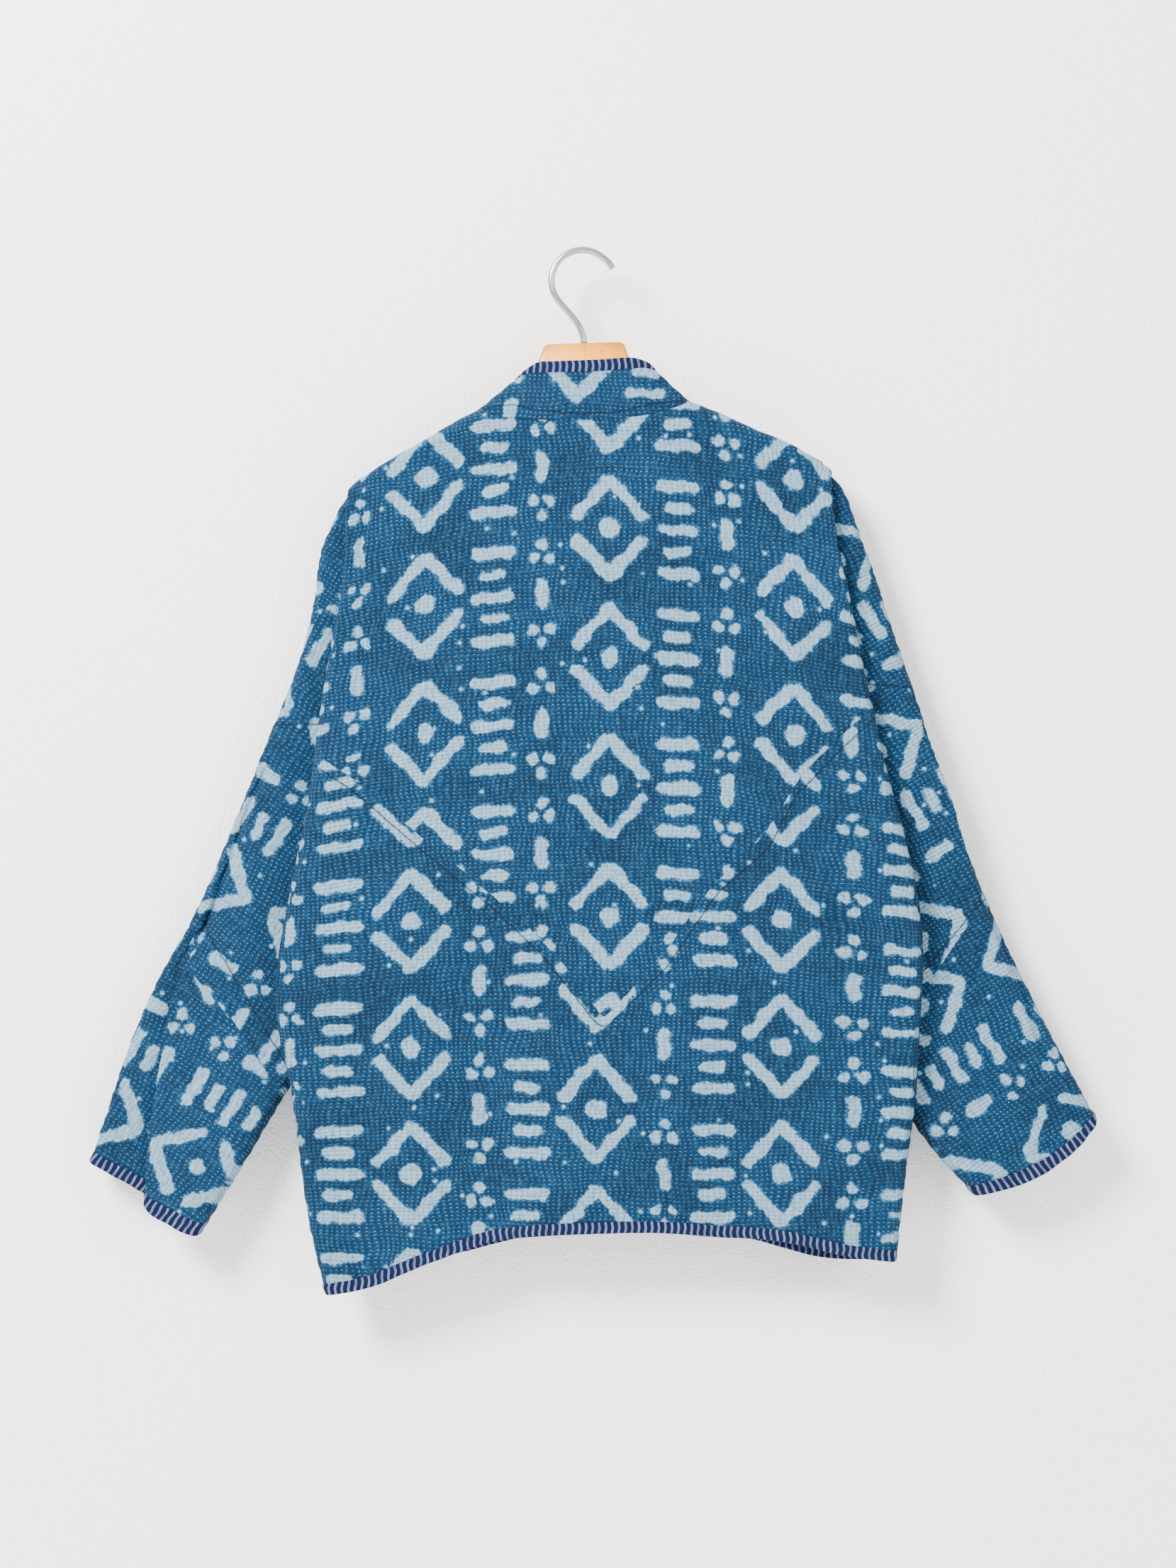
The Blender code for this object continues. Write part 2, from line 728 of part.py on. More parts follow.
def sleeve_point(rows, share, place):
    """A sleeve's outer face. Its section is closed, and its back steps at a fold from the
    outer lobe, which lies under, to the near lobe."""
    r = {name: read(rows, name, share) for name in rows}
    width = math.hypot(r["inner_x"] - r["outer_x"], r["inner_z"] - r["outer_z"])
    corners = (
        (width, r["front"]),
        (0, r["front"]),
        (0, r["under"]),
        (r["lobe"] + r["lean"], r["under"]),
        (r["lobe"], r["back"]),
        (width, r["back"]),
    )
    outer_round = 0.46 * (r["front"] - r["under"])
    inner_round = 0.44 * (r["front"] - r["back"])
    radii = (inner_round, outer_round, outer_round, 2.5, 7.5, inner_round)
    a, y = along(corners, radii, place)
    sag = r["sag"] * smoothstep((place - 3.5) / 0.75) * smoothstep((5.5 - place) / 0.75)
    arch = math.sin(math.pi * clamp(a / width, 0, 1) ** CUFF_BOW_LEAN)
    sag += r["bow"] * arch * smoothstep((place - 1.5) * 2) * smoothstep((5.5 - place) * 2)
    return (
        mix(r["outer_x"], r["inner_x"], a / width),
        y,
        mix(r["outer_z"], r["inner_z"], a / width) - sag,
    )


def seam_share(place, seam):
    """Share along a sleeve of its slanted seam, which slants only along the section's runs."""
    marks = ((-0.25, 2), (0.25, 2), (0.75, 0), (2.25, 0), (2.75, 1), (4.25, 1), (4.75, 2), (6, 2))
    columns = {"place": [mark[0] for mark in marks], "share": [seam[mark[1]] for mark in marks]}
    return read(columns, "share", place, straight=True)


def build_sleeve(side, head, rows, seam):
    left = side == "left"
    ordered = HEAD_PLACES if left else HEAD_PLACES[::-1]
    sheet(
        f"sleeve_{side}_head", ordered, len(HEAD_SHARES),
        lambda place, j: head_point(head, HEAD_SHARES[j], place), WALL, "cotton",
    )

    step = SLEEVE_STEP_PLACES if left else SLEEVE_FLAT_PLACES
    places = SLEEVE_OUTER_PLACES + step + SLEEVE_NEAR_PLACES
    ordered = places if left else places[::-1]

    def upper_point(place, j):
        share = mix(SLEEVE_GAP_SHARE / 4, seam_share(place, seam) - SLEEVE_GAP_SHARE, j / 6)
        return sleeve_point(rows, share, place)

    def lower_point(place, j):
        share = mix(seam_share(place, seam) + SLEEVE_GAP_SHARE, CUFF_SHARE - SLEEVE_GAP_SHARE, j / 6)
        return sleeve_point(rows, share, place)

    def cuff_point(place, j):
        return sleeve_point(rows, mix(CUFF_SHARE + SLEEVE_GAP_SHARE, 1, j), place)

    sheet(f"sleeve_{side}_upper", ordered, 7, upper_point, WALL, "cotton", closed=True)
    sheet(f"sleeve_{side}_lower", ordered, 7, lower_point, WALL, "cotton", closed=True)
    sheet(
        f"cuff_{side}_binding", ordered, 2, cuff_point,
        BINDING_WALL, "binding", BINDING_PROUD, closed=True,
    )


def build_hanger():
    marks = [body_level(place, -150)[0] for place in back_run()]
    seam = {"x": marks, "z": [read(RIDGE, "z", x) for x in marks]}
    left, right = (
        tuple((x, read(seam, "z", x, straight=True) - BOARD_BELOW_RIDGE) for x in shoulder)
        for shoulder in (BOARD_LEFT_SHOULDER, BOARD_RIGHT_SHOULDER)
    )
    outline = left + BOARD_NECK + right + BOARD_LOWER
    shape = bmesh.new()
    corners = [shape.verts.new((x * MM, -BOARD_HALF_THICKNESS * MM, z * MM)) for x, z in outline]
    back = shape.faces.new(corners)
    grown = bmesh.ops.extrude_face_region(shape, geom=[back])
    moved = [v for v in grown["geom"] if isinstance(v, bmesh.types.BMVert)]
    bmesh.ops.translate(shape, verts=moved, vec=(0, 2 * BOARD_HALF_THICKNESS * MM, 0))
    bmesh.ops.recalc_face_normals(shape, faces=shape.faces)
    cut = shape.edges.layers.float.new("bevel_weight_edge")
    for edge in shape.edges:
        one, two = (v.co / MM for v in edge.verts)
        if abs(one.y - two.y) < BOARD_HALF_THICKNESS:
            middle = (one + two) / 2
            if middle.z > BOARD_NECK_TOP:
                edge[cut] = BOARD_TOP_SHARE
            elif middle.z > BOARD_NECK_FOOT:
                edge[cut] = 1.0
            else:
                edge[cut] = BOARD_ARM_SHARE
    mesh = bpy.data.meshes.new("hanger")
    shape.to_mesh(mesh)
    shape.free()
    part = add_part("hanger", mesh, "beech")
    edges = part.modifiers.new("Edges", "BEVEL")
    edges.width = BOARD_CHAMFER * MM
    edges.segments = 1
    edges.limit_method = "WEIGHT"


def hook_route():
    """The rod's centre line: an arc, then a stem that swings under the crown."""
    angles = spread(HOOK_TIP_ANGLE, HOOK_LEAVE_ANGLE, HOOK_STEPS)
    route = []
    for angle in angles:
        turn = math.radians(angle)
        flare = 2.0 * smoothstep((60 - angle) / 50)
        reach = HOOK_RADIUS + flare
        route.append((
            HOOK_CENTRE[0] + reach * math.cos(turn), HOOK_CENTRE[1] + reach * math.sin(turn),
        ))
    heading = math.radians(HOOK_LEAVE_ANGLE + 90)
    start = route[-1]
    swung = (start[0] + STEM_SWING * math.cos(heading), start[1] + STEM_SWING * math.sin(heading))
    for k in range(1, STEM_STEPS + 1):
        t = k / STEM_STEPS
        parts = ((1 - t) ** 3, 3 * t * (1 - t) ** 2, 3 * t * t * (1 - t), t ** 3)
        ends = (start, swung, STEM_BEND, STEM_FOOT)
        route.append(tuple(sum(part * end[i] for part, end in zip(parts, ends)) for i in (0, 1)))
    return route


def build_hook():
    curve = bpy.data.curves.new("hook", "CURVE")
    curve.dimensions = "3D"
    curve.bevel_depth = ROD_RADIUS * MM
    curve.bevel_resolution = 3
    curve.use_fill_caps = True
    route = hook_route()
    spline = curve.splines.new("POLY")
    spline.points.add(len(route) - 1)
    for point, (x, z) in zip(spline.points, route):
        point.co = (x * MM, 0, z * MM, 1)
    add_part("hook", curve, "steel")


def main():
    for old in list(bpy.data.objects):
        bpy.data.objects.remove(old)
    collection = bpy.data.collections.new("kantha_jacket")
    bpy.context.scene.collection.children.link(collection)
    build_body()
    build_collar()
    build_front_bindings()
    build_sleeve("left", table(LEFT_HEAD), table(LEFT_SLEEVE), LEFT_SEAM)
    build_sleeve("right", table(RIGHT_HEAD), table(RIGHT_SLEEVE), RIGHT_SEAM)
    build_hanger()
    build_hook()


main()
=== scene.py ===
"""A quilted kantha jacket with its back to the viewer, on a beech hanger.

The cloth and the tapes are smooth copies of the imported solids, shaped with soft folds.
Tables are in millimetres, and the scene is in metres.
"""

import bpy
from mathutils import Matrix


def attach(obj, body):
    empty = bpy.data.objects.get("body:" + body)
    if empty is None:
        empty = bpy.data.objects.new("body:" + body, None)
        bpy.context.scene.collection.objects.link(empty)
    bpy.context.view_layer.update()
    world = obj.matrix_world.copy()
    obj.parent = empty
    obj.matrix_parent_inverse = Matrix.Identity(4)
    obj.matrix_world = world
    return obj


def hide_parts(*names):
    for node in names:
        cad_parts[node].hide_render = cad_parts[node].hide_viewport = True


bl_info = {
    "name": "Kantha jacket on a hanger",
    "version": (1, 0, 0),
    "blender": (4, 5, 0),
    "location": "View3D > Sidebar > Kantha jacket",
    "description": "A quilted, resist-printed jacket with striped tape, on a beech hanger",
    "category": "Object",
}

import math

import bmesh
import bpy
import numpy as np
from mathutils.bvhtree import BVHTree

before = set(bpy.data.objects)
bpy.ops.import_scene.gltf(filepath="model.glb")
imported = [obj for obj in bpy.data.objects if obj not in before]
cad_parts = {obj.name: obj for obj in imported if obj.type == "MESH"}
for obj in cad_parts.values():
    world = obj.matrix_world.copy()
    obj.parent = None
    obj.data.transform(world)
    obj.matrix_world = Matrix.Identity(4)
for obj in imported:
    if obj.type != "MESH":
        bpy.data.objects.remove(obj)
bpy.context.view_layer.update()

MM = 0.001
BODY_OF_ALL = "root"

# The heights between which the cloth leaves the hanger and comes to hang free.
BODY_FREE = (-195, -260)
SLEEVES_FREE = (-250, -400)

# How high the cloth's uneven wave is, on the body and on the sleeves.
BODY_RIPPLE = 0.5
SLEEVE_RIPPLE = 0.4

# The body's side edges and its middle, in x, and how far its outer faces stand from its middle
# plane. Nearer to that plane, at the side edges, its folds fade out.
SIDE_EDGES = (-232.0, 268.0)
BODY_MIDDLE = 10
FACE_DEPTH = 25.0
FOLDS_FADE = (2, 14)

# The print and the quilting droop towards the shoulders' ends, by this much times the square of
# the distance from the yoke's point.
DROOP = 0.0005
YOKE_POINT = 20

# How the quilting rows turn on each sleeve.
ROWS_TURN = {"left": -33, "right": 31}

# How far the topstitching lies from each seam, and a distance to it at which none shows.
TOPSTITCH = {"v": 8.5, "head": 8.0, "slant": 8.5, "collar": 9.0}
NO_SEAM = 50.0

# How firmly smoothing keeps the rims of cloth and of tape, and which angles are rims.
SMOOTHING_PASSES = 3
TAPE_LEVELS = 3
CLOTH_CREASE = 0.5
TAPE_CREASE = 0.42
RIM_ANGLE = math.radians(50)
SHARP_ANGLE = math.radians(48)
WOOD_SHARP_ANGLE = math.radians(30)

# Rims nearer than the reach are drawn together, and wholly where they are nearer than the second
# figure: each by no more than the third, until the gap of a tape or of another seam is left.
SEAM_REACH = 6.0
WHOLE_DRAW_GAP = 1.3
MOST_DRAW = 0.6
TAPE_GAP = 0.1
SEAM_GAP = 0.32

# Where the board's two halves meet, in x.
BOARD_JOINT = 3.7

# The camera's distance, and the height it sees there, in metres.
CAMERA_AWAY = 2.6
VIEW_TALL = 1.371

# The V seam under the yoke, in x and z, and the row of topstitching under it.
V_SEAM = ((-231, -437), (-191, -463), (-136, -510.5), (-69, -565.5), (-26, -606), (20.5, -664.5),
          (68, -617), (112, -553), (156, -514.5), (180, -469), (220, -428), (255, -396))

# The collar's lower seam across the back.
COLLAR_SEAM = ((-88, -146), (-60, -143), (-37, -148.5), (0, -152), (36, -150), (62, -143), (92, -138))

# The seams across the sleeves, and the slanted ones further down.
LEFT_HEAD_SEAM = ((-271, -420), (-190, -420))
RIGHT_HEAD_SEAM = ((294.5, -388.5), (215.8, -382))
LEFT_SLANT = ((-338, -588), (-258, -722))
RIGHT_SLANT = ((357, -573), (259, -688))

# Soft folds across the cloth: a line from one end to the other, how wide the fold is, and how
# far it stands out from the wearer. Troughs are negative.
BACK_FOLDS = """
x1    z1    x2    z2    width  out
-215  -330  -196  -640  26     3
-170  -250  -182  -520  30    -2
-120  -300  -150  -800  46     1.6
-60   -560  -92   -850  40    -2.2
0     -250  -8    -820  60     1.6
52    -600  74    -850  34    -2
120   -420  150   -850  42     2
190   -300  226   -640  28     2.4
228   -420  262   -830  24    -2.4
-190  -700  -176  -890  24    -3
200   -680  232   -860  26     2.6
-150  -215  -60   -330  34    -1.2
168   -215  80    -330  34    -1.2
-205  -440  -60   -560  60     1.4
225   -420  90    -560  60     1.4
"""
FRONT_FOLDS = """
x1    z1    x2    z2    width  out
-180  -260  -196  -620  30     2.4
-120  -300  -130  -840  44    -2.2
-60   -420  -52   -860  36     2
70    -380  84    -850  40     2
140   -300  150   -830  38    -2.2
205   -300  235   -760  30     2.4
"""
SLEEVE_FOLDS = """
x1    z1    x2    z2    width  out
-250  -440  -330  -700  24     2.6
-232  -430  -262  -600  20    -1.6
-300  -620  -372  -780  22    -2.2
-280  -700  -330  -820  26     2
272   -410  330   -560  26     2.4
300   -540  400   -740  28    -2
262   -620  330   -780  30     2.2
250   -430  262   -560  20    -1.4
"""

# Tucks down the sleeves: a line in x and z, the groove's width and depth, how far the strip
# outside the line is set back, and the heights between which the tuck lies.
TUCKS = (
    (((-268, -440), (-286, -477), (-296, -505), (-307, -535), (-320, -572), (-333, -601)),
     3.2, 4.5, 5.5, -452, -604),
    (((338, -518), (356, -572), (367, -603), (386, -643), (397, -677), (408, -712)),
     3.2, 3.0, 3.0, -530, -700),
)

# The pieces that are sewn to each other, whose rims are drawn together.
SEAMS = (
    ("back_yoke", "back_lower"), ("back_yoke", "sleeve_left_head"), ("back_yoke", "sleeve_right_head"),
    ("front_left", "sleeve_left_head"), ("front_right", "sleeve_right_head"), ("back_yoke", "collar"),
    ("sleeve_left_head", "sleeve_left_upper"), ("sleeve_left_upper", "sleeve_left_lower"),
    ("sleeve_right_head", "sleeve_right_upper"), ("sleeve_right_upper", "sleeve_right_lower"),
    ("sleeve_left_lower", "cuff_left_binding"), ("sleeve_right_lower", "cuff_right_binding"),
    ("back_lower", "hem_binding"), ("front_left", "hem_binding"), ("front_right", "hem_binding"),
    ("collar", "collar_binding"), ("front_left", "front_left_binding"),
    ("front_right", "front_right_binding"),
)

# How the print lies on each panel: the cloth's turn, and where the repeat starts.
PANEL_LAY = {
    "back_yoke": (0, 12, 18),
    "back_lower": (180, 52, 40),
    "front_left": (180, 20, 0),
    "front_right": (180, 66, 30),
    "sleeve_left_head": (58, 30, 12),
    "sleeve_left_upper": (58, 30, 12),
    "sleeve_left_lower": (60, 95, 60),
    "sleeve_right_head": (-58, 10, 70),
    "sleeve_right_upper": (-58, 10, 70),
    "sleeve_right_lower": (-60, 120, 20),
}
COLLAR_LAY = (40, 86)

# The print: straight marks from end to end, and round dots. Each repeat is 160 by 112, and
# every second column drops by half. Lozenges, stacked bars and dots in threes are old resist
# marks, laid out for this cloth.
REPEAT_WIDE, REPEAT_TALL = 160.0, 112.0
STROKES = """
x1   z1   x2   z2   half
-44  41   -71  11   5.2
-41  41   -14  11   5.2
-71  -11  -44  -41  5.2
-14  -11  -41  -41  5.2
3    38   31   38   4.9
10   19   25   19   4.5
3    0    31   0    4.9
10   -19  25   -19  4.5
3    -38  31   -38  4.9
59   -8   59   8    5.4
"""
DOTS = """
x    z    radius
-42  0    8.4
52   31   4.7
66   31   4.7
59   43   4.7
52   -31  4.7
66   -31  4.7
59   -43  4.7
"""


def table_rows(text):
    """A table's rows as dicts, keyed by its heading."""
    lines = [line.split() for line in text.strip().splitlines()]
    return [dict(zip(lines[0], map(float, line))) for line in lines[1:]]


def linear(hex_value):
    """An sRGB hex colour as linear red, green and blue."""
    value = hex_value.lstrip("#")
    channels = [int(value[i:i + 2], 16) / 255 for i in (0, 2, 4)]
    return tuple(c / 12.92 if c <= 0.04045 else ((c + 0.055) / 1.055) ** 2.4 for c in channels)


def add(tree, kind, inputs=(), **settings):
    """Adds a node with its settings, and links or fills its inputs."""
    node = tree.nodes.new("ShaderNode" + kind)
    for name, value in settings.items():
        setattr(node, name, value)
    pairs = inputs.items() if isinstance(inputs, dict) else enumerate(inputs)
    for key, value in pairs:
        if isinstance(value, bpy.types.Node):
            value = value.outputs[0]
        if isinstance(value, bpy.types.NodeSocket):
            tree.links.new(value, node.inputs[key])
        else:
            node.inputs[key].default_value = value
    return node


def calc(tree, operation, *inputs, clamp=False):
    """Works out a number from others."""
    return add(tree, "Math", inputs, operation=operation, use_clamp=clamp)


def vector(tree, operation, *inputs):
    """Works out a place or a number from places."""
    return add(tree, "VectorMath", inputs, operation=operation)


def scaled(tree, place, size):
    """A place times a number."""
    return add(tree, "VectorMath", {0: place, "Scale": size}, operation="SCALE")


def noise(tree, place, scale, detail, roughness=0.5, flat=True):
    """A cloudy pattern, over flat cloth or through a solid."""
    return add(tree, "TexNoise", {"Vector": place, "Scale": scale, "Detail": detail,
                                  "Roughness": roughness}, noise_dimensions="2D" if flat else "3D")


def ramp(tree, value, low, high, start=0.0, end=1.0, smooth=False):
    """Goes from start, where the value is low, to end, where it is high."""
    return add(tree, "MapRange", {"Value": value, "From Min": low, "From Max": high, "To Min": start,
                                  "To Max": end}, interpolation_type="SMOOTHSTEP" if smooth else "LINEAR")


def blend(tree, share, below, above):
    """One colour over another by a share. Each is a linear colour or an earlier blend."""
    both = [c if isinstance(c, bpy.types.NodeSocket) else (*c, 1) for c in (below, above)]
    return add(tree, "Mix", {0: share, 6: both[0], 7: both[1]}, data_type="RGBA").outputs[2]


def new_material(name):
    """An empty node material and its tree."""
    material = bpy.data.materials.new(name)
    material.use_nodes = True
    material.node_tree.nodes.clear()
    return material, material.node_tree


def smooth_step(low, high, values):
    """0 below low, 1 above high, and a soft rise between."""
    share = np.clip((values - low) / (high - low), 0, 1)
    return share * share * (3 - 2 * share)


def line_distance(x, z, points):
    """Each place's distance to a line through points, positive above the line."""
    best = np.full(x.shape, 1e6)
    side = np.ones(x.shape)
    for (x1, z1), (x2, z2) in zip(points, points[1:]):
        along = ((x - x1) * (x2 - x1) + (z - z1) * (z2 - z1)) / ((x2 - x1) ** 2 + (z2 - z1) ** 2)
        along = np.clip(along, 0, 1)
        gap_x = x - x1 - along * (x2 - x1)
        gap_z = z - z1 - along * (z2 - z1)
        gap = np.hypot(gap_x, gap_z)
        above = (x2 - x1) * gap_z - (z2 - z1) * gap_x
        nearer = gap < best
        side = np.where(nearer, np.where(above * (x2 - x1) >= 0, 1, -1), side)
        best = np.where(nearer, gap, best)
    return best * side


def soft_folds(x, z, folds):
    """How far a table's folds stand out at each place."""
    out = np.zeros(x.shape)
    for fold in table_rows(folds):
        run_x = fold["x2"] - fold["x1"]
        run_z = fold["z2"] - fold["z1"]
        length = math.hypot(run_x, run_z)
        along = ((x - fold["x1"]) * run_x + (z - fold["z1"]) * run_z) / length
        across = ((x - fold["x1"]) * run_z - (z - fold["z1"]) * run_x) / length
        # No fold is straight: each wanders 5 mm to both sides.
        across = across + 5 * np.sin(along / 31 + fold["x1"])
        fade = smooth_step(-45, 30, along) * smooth_step(-45, 30, length - along)
        out += fold["out"] * fade * np.exp(-(across / fold["width"]) ** 2)
    return out


def ripple(x, z, size):
    """A quiet uneven wave over the cloth, a few centimetres long."""
    first = np.sin(x / 17 + 1.7 * np.sin(z / 43)) * np.sin(z / 26 + 1.3 * np.sin(x / 39))
    second = np.sin((x + z) / 23 + 1.1 * np.sin((x - z) / 31))
    return size * (0.6 * first + 0.4 * second)


def tuck_depth(x, y, z):
    """How deep the tucks are at each place. They lie on the side shown, where y is low."""
    deep = np.zeros(x.shape)
    for points, width, depth, set_back, top, bottom in TUCKS:
        outside = line_distance(x, z, points)
        fade = smooth_step(top + 16, top - 16, z) * smooth_step(bottom - 16, bottom + 16, z)
        deep += fade * depth * np.exp(-(outside / width) ** 2)
        deep += fade * set_back * smooth_step(-1.5, 2.0, outside)
    return deep * smooth_step(12, 4, y)


def quilt_waver(z):
    """How far the rows draw the cloth to one side and the other, which scallops its edges."""
    return 0.4 * np.sin(z / 1.75 + 2.2 * np.sin(z / 23)) + 0.25 * np.sin(z / 4.3 + 1.1)


def close_seams(node, x, y, z):
    """Draws a piece's rims towards the pieces it is sewn to, tapes closest of all."""
    for pair in SEAMS:
        if node not in pair:
            continue
        closest = TAPE_GAP if "binding" in pair[1] else SEAM_GAP
        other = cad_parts[pair[1 - pair.index(node)]].data
        corners = [vertex.co / MM for vertex in other.vertices]
        tree = BVHTree.FromPolygons(corners, [face.vertices[:] for face in other.polygons])
        low = [min(corner[i] for corner in corners) - SEAM_REACH for i in range(3)]
        high = [max(corner[i] for corner in corners) + SEAM_REACH for i in range(3)]
        near = np.ones(x.shape, dtype=bool)
        for values, least, most in zip((x, y, z), low, high):
            near &= (values > least) & (values < most)
        for i in np.flatnonzero(near):
            spot, _, _, gap = tree.find_nearest((x[i], y[i], z[i]), SEAM_REACH)
            if spot is None:
                continue
            run_x = spot.x - x[i]
            run_z = spot.z - z[i]
            fade = min(max((SEAM_REACH - gap) / (SEAM_REACH - WHOLE_DRAW_GAP), 0), 1)
            move = min((gap - closest) / 2, MOST_DRAW * fade * fade * (3 - 2 * fade))
            if move > 0:
                x[i] += move * run_x / gap
                z[i] += move * run_z / gap
    return x, z


def copy_of_solid(node, name, crease, levels):
    """A solid's mesh made whole, then smoothed with its rims kept."""
    shape = bmesh.new()
    shape.from_mesh(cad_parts[node].data)
    bmesh.ops.remove_doubles(shape, verts=shape.verts, dist=1e-6)
    bmesh.ops.join_triangles(shape, faces=shape.faces, cmp_seam=False, cmp_sharp=False, cmp_uvs=False,
                             cmp_vcols=False, cmp_materials=False,
                             angle_face_threshold=math.radians(40),
                             angle_shape_threshold=math.radians(60))
    layers = shape.edges.layers.float
    sharpness = layers.get("crease_edge") or layers.new("crease_edge")
    for edge in shape.edges:
        if len(edge.link_faces) == 2 and edge.calc_face_angle() > RIM_ANGLE:
            edge[sharpness] = crease
    mesh = bpy.data.meshes.new(name)
    shape.to_mesh(mesh)
    shape.free()
    piece = bpy.data.objects.new(name, mesh)
    bpy.context.scene.collection.objects.link(piece)
    if levels:
        smooth = piece.modifiers.new("smooth", "SUBSURF")
        smooth.levels = levels
        smooth.render_levels = levels
        smooth.boundary_smooth = "PRESERVE_CORNERS"
        # Smoothing pulls a surface in, so the points are pushed out until it passes through them.
        wanted = np.empty(len(mesh.vertices) * 3)
        mesh.vertices.foreach_get("co", wanted)
        pushed = wanted.copy()
        for _ in range(SMOOTHING_PASSES):
            graph = bpy.context.evaluated_depsgraph_get()
            reached = piece.evaluated_get(graph).data
            places = np.empty(len(reached.vertices) * 3)
            reached.vertices.foreach_get("co", places)
            pushed += wanted - places[:pushed.size]
            mesh.vertices.foreach_set("co", pushed)
            mesh.update()
        graph = bpy.context.evaluated_depsgraph_get()
        finished = bpy.data.meshes.new_from_object(piece.evaluated_get(graph))
        piece.modifiers.clear()
        piece.data = finished
        bpy.data.meshes.remove(mesh)
        finished.name = name
    return piece


def points_of(piece):
    """A piece's points in millimetres, as columns x, y and z."""
    flat = np.empty(len(piece.data.vertices) * 3)
    piece.data.vertices.foreach_get("co", flat)
    return flat.reshape(-1, 3).T / MM


def place_points(piece, x, y, z, sharp=SHARP_ANGLE):
    """Moves a piece's points to new places in millimetres, and shades it."""
    piece.data.vertices.foreach_set("co", (np.stack((x, y, z), axis=1) * MM).ravel())
    piece.data.polygons.foreach_set("use_smooth", [True] * len(piece.data.polygons))
    piece.data.set_sharp_from_angle(angle=sharp)
    piece.data.update()


def lay_cloth(piece, across, up, name="cloth"):
    """Writes the cloth's own flat places, in metres, as a UV map of the piece."""
    corners = np.empty(len(piece.data.loops), dtype=np.int32)
    piece.data.loops.foreach_get("vertex_index", corners)
    layer = piece.data.uv_layers.new(name=name)
    layer.data.foreach_set("uv", (np.stack((across[corners], up[corners]), axis=1) * MM).ravel())


def mark_seam(piece, distance):
    """Keeps each point's distance to its topstitched line, in millimetres."""
    layer = piece.data.attributes.new("seam_distance", "FLOAT", "POINT")
    layer.data.foreach_set("value", distance)


def finish_piece(piece, node, material):
    """Hangs a piece on the body, in place of its solid."""
    piece.data.materials.clear()
    piece.data.materials.append(material)
    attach(piece, BODY_OF_ALL)
    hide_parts(node)


class JacketCloth(bpy.types.PropertyGroup):
    """Sizes and colours of the quilted cloth."""
    indigo: bpy.props.FloatVectorProperty(
        name="Indigo", description="The dyed ground", subtype="COLOR", size=3, default=linear("#092C48"))
    deep_indigo: bpy.props.FloatVectorProperty(
        name="Deep indigo", description="Where the dye took twice", subtype="COLOR", size=3,
        default=linear("#08243B"))
    worn_indigo: bpy.props.FloatVectorProperty(
        name="Washed indigo", description="Paler clouds of the ground", subtype="COLOR", size=3,
        default=linear("#174463"))
    resist: bpy.props.FloatVectorProperty(
        name="Resist mark", description="Cloth that the paste kept from the dye", subtype="COLOR", size=3,
        default=linear("#7692A3"))
    fringe: bpy.props.FloatVectorProperty(
        name="Bleed", description="Half-dyed edge of a mark", subtype="COLOR", size=3,
        default=linear("#25587B"))
    thread: bpy.props.FloatVectorProperty(
        name="Quilting thread", description="The running stitches", subtype="COLOR", size=3,
        default=linear("#8CAABD"))
    row_pitch: bpy.props.FloatProperty(
        name="Row spacing", description="From one quilting row to the next", default=3.5 * MM,
        subtype="DISTANCE", unit="LENGTH")
    stitch_pitch: bpy.props.FloatProperty(
        name="Stitch spacing", description="From one running stitch to the next", default=4.7 * MM,
        subtype="DISTANCE", unit="LENGTH")
    stitch_length: bpy.props.FloatProperty(
        name="Stitch length", description="How much of a running stitch shows", default=1.4 * MM,
        subtype="DISTANCE", unit="LENGTH")
    levels: bpy.props.IntProperty(
        name="Smoothing", description="Subdivision of the panels", default=3, min=1, max=4)


class JacketTape(bpy.types.PropertyGroup):
    """Sizes and colours of the striped tape."""
    navy: bpy.props.FloatVectorProperty(
        name="Navy", description="The tape's ground", subtype="COLOR", size=3, default=linear("#061128"))
    stripe: bpy.props.FloatVectorProperty(
        name="Stripe", description="The tape's pale stripe", subtype="COLOR", size=3,
        default=linear("#535C8B"))
    stripe_pitch: bpy.props.FloatProperty(
        name="Stripe spacing", description="From one stripe to the next", default=5.7 * MM,
        subtype="DISTANCE", unit="LENGTH")
    stripe_width: bpy.props.FloatProperty(
        name="Stripe width", description="Width of the pale stripe", default=2.0 * MM,
        subtype="DISTANCE", unit="LENGTH")


class HangerLooks(bpy.types.PropertyGroup):
    """Colours of the hanger."""
    beech: bpy.props.FloatVectorProperty(
        name="Beech", description="Pale wood between the pores", subtype="COLOR", size=3,
        default=linear("#FFAA14"))
    beech_grain: bpy.props.FloatVectorProperty(
        name="Grain", description="Darker bands of the wood", subtype="COLOR", size=3,
        default=linear("#EC9012"))
    steel: bpy.props.FloatVectorProperty(
        name="Steel", description="The plated hook", subtype="COLOR", size=3, default=linear("#ABAEB4"))


class RoomLooks(bpy.types.PropertyGroup):
    """The studio round the jacket."""
    wall: bpy.props.FloatVectorProperty(
        name="Wall", description="Matt painted wall and floor", subtype="COLOR", size=3,
        default=linear("#FBFAF9"))
    wall_gap: bpy.props.FloatProperty(
        name="Wall behind", description="From the hook's middle back to the wall", default=0.042,
        subtype="DISTANCE", unit="LENGTH")
    floor_drop: bpy.props.FloatProperty(
        name="Floor below", description="From the hook down to the floor", default=1.75,
        subtype="DISTANCE", unit="LENGTH")


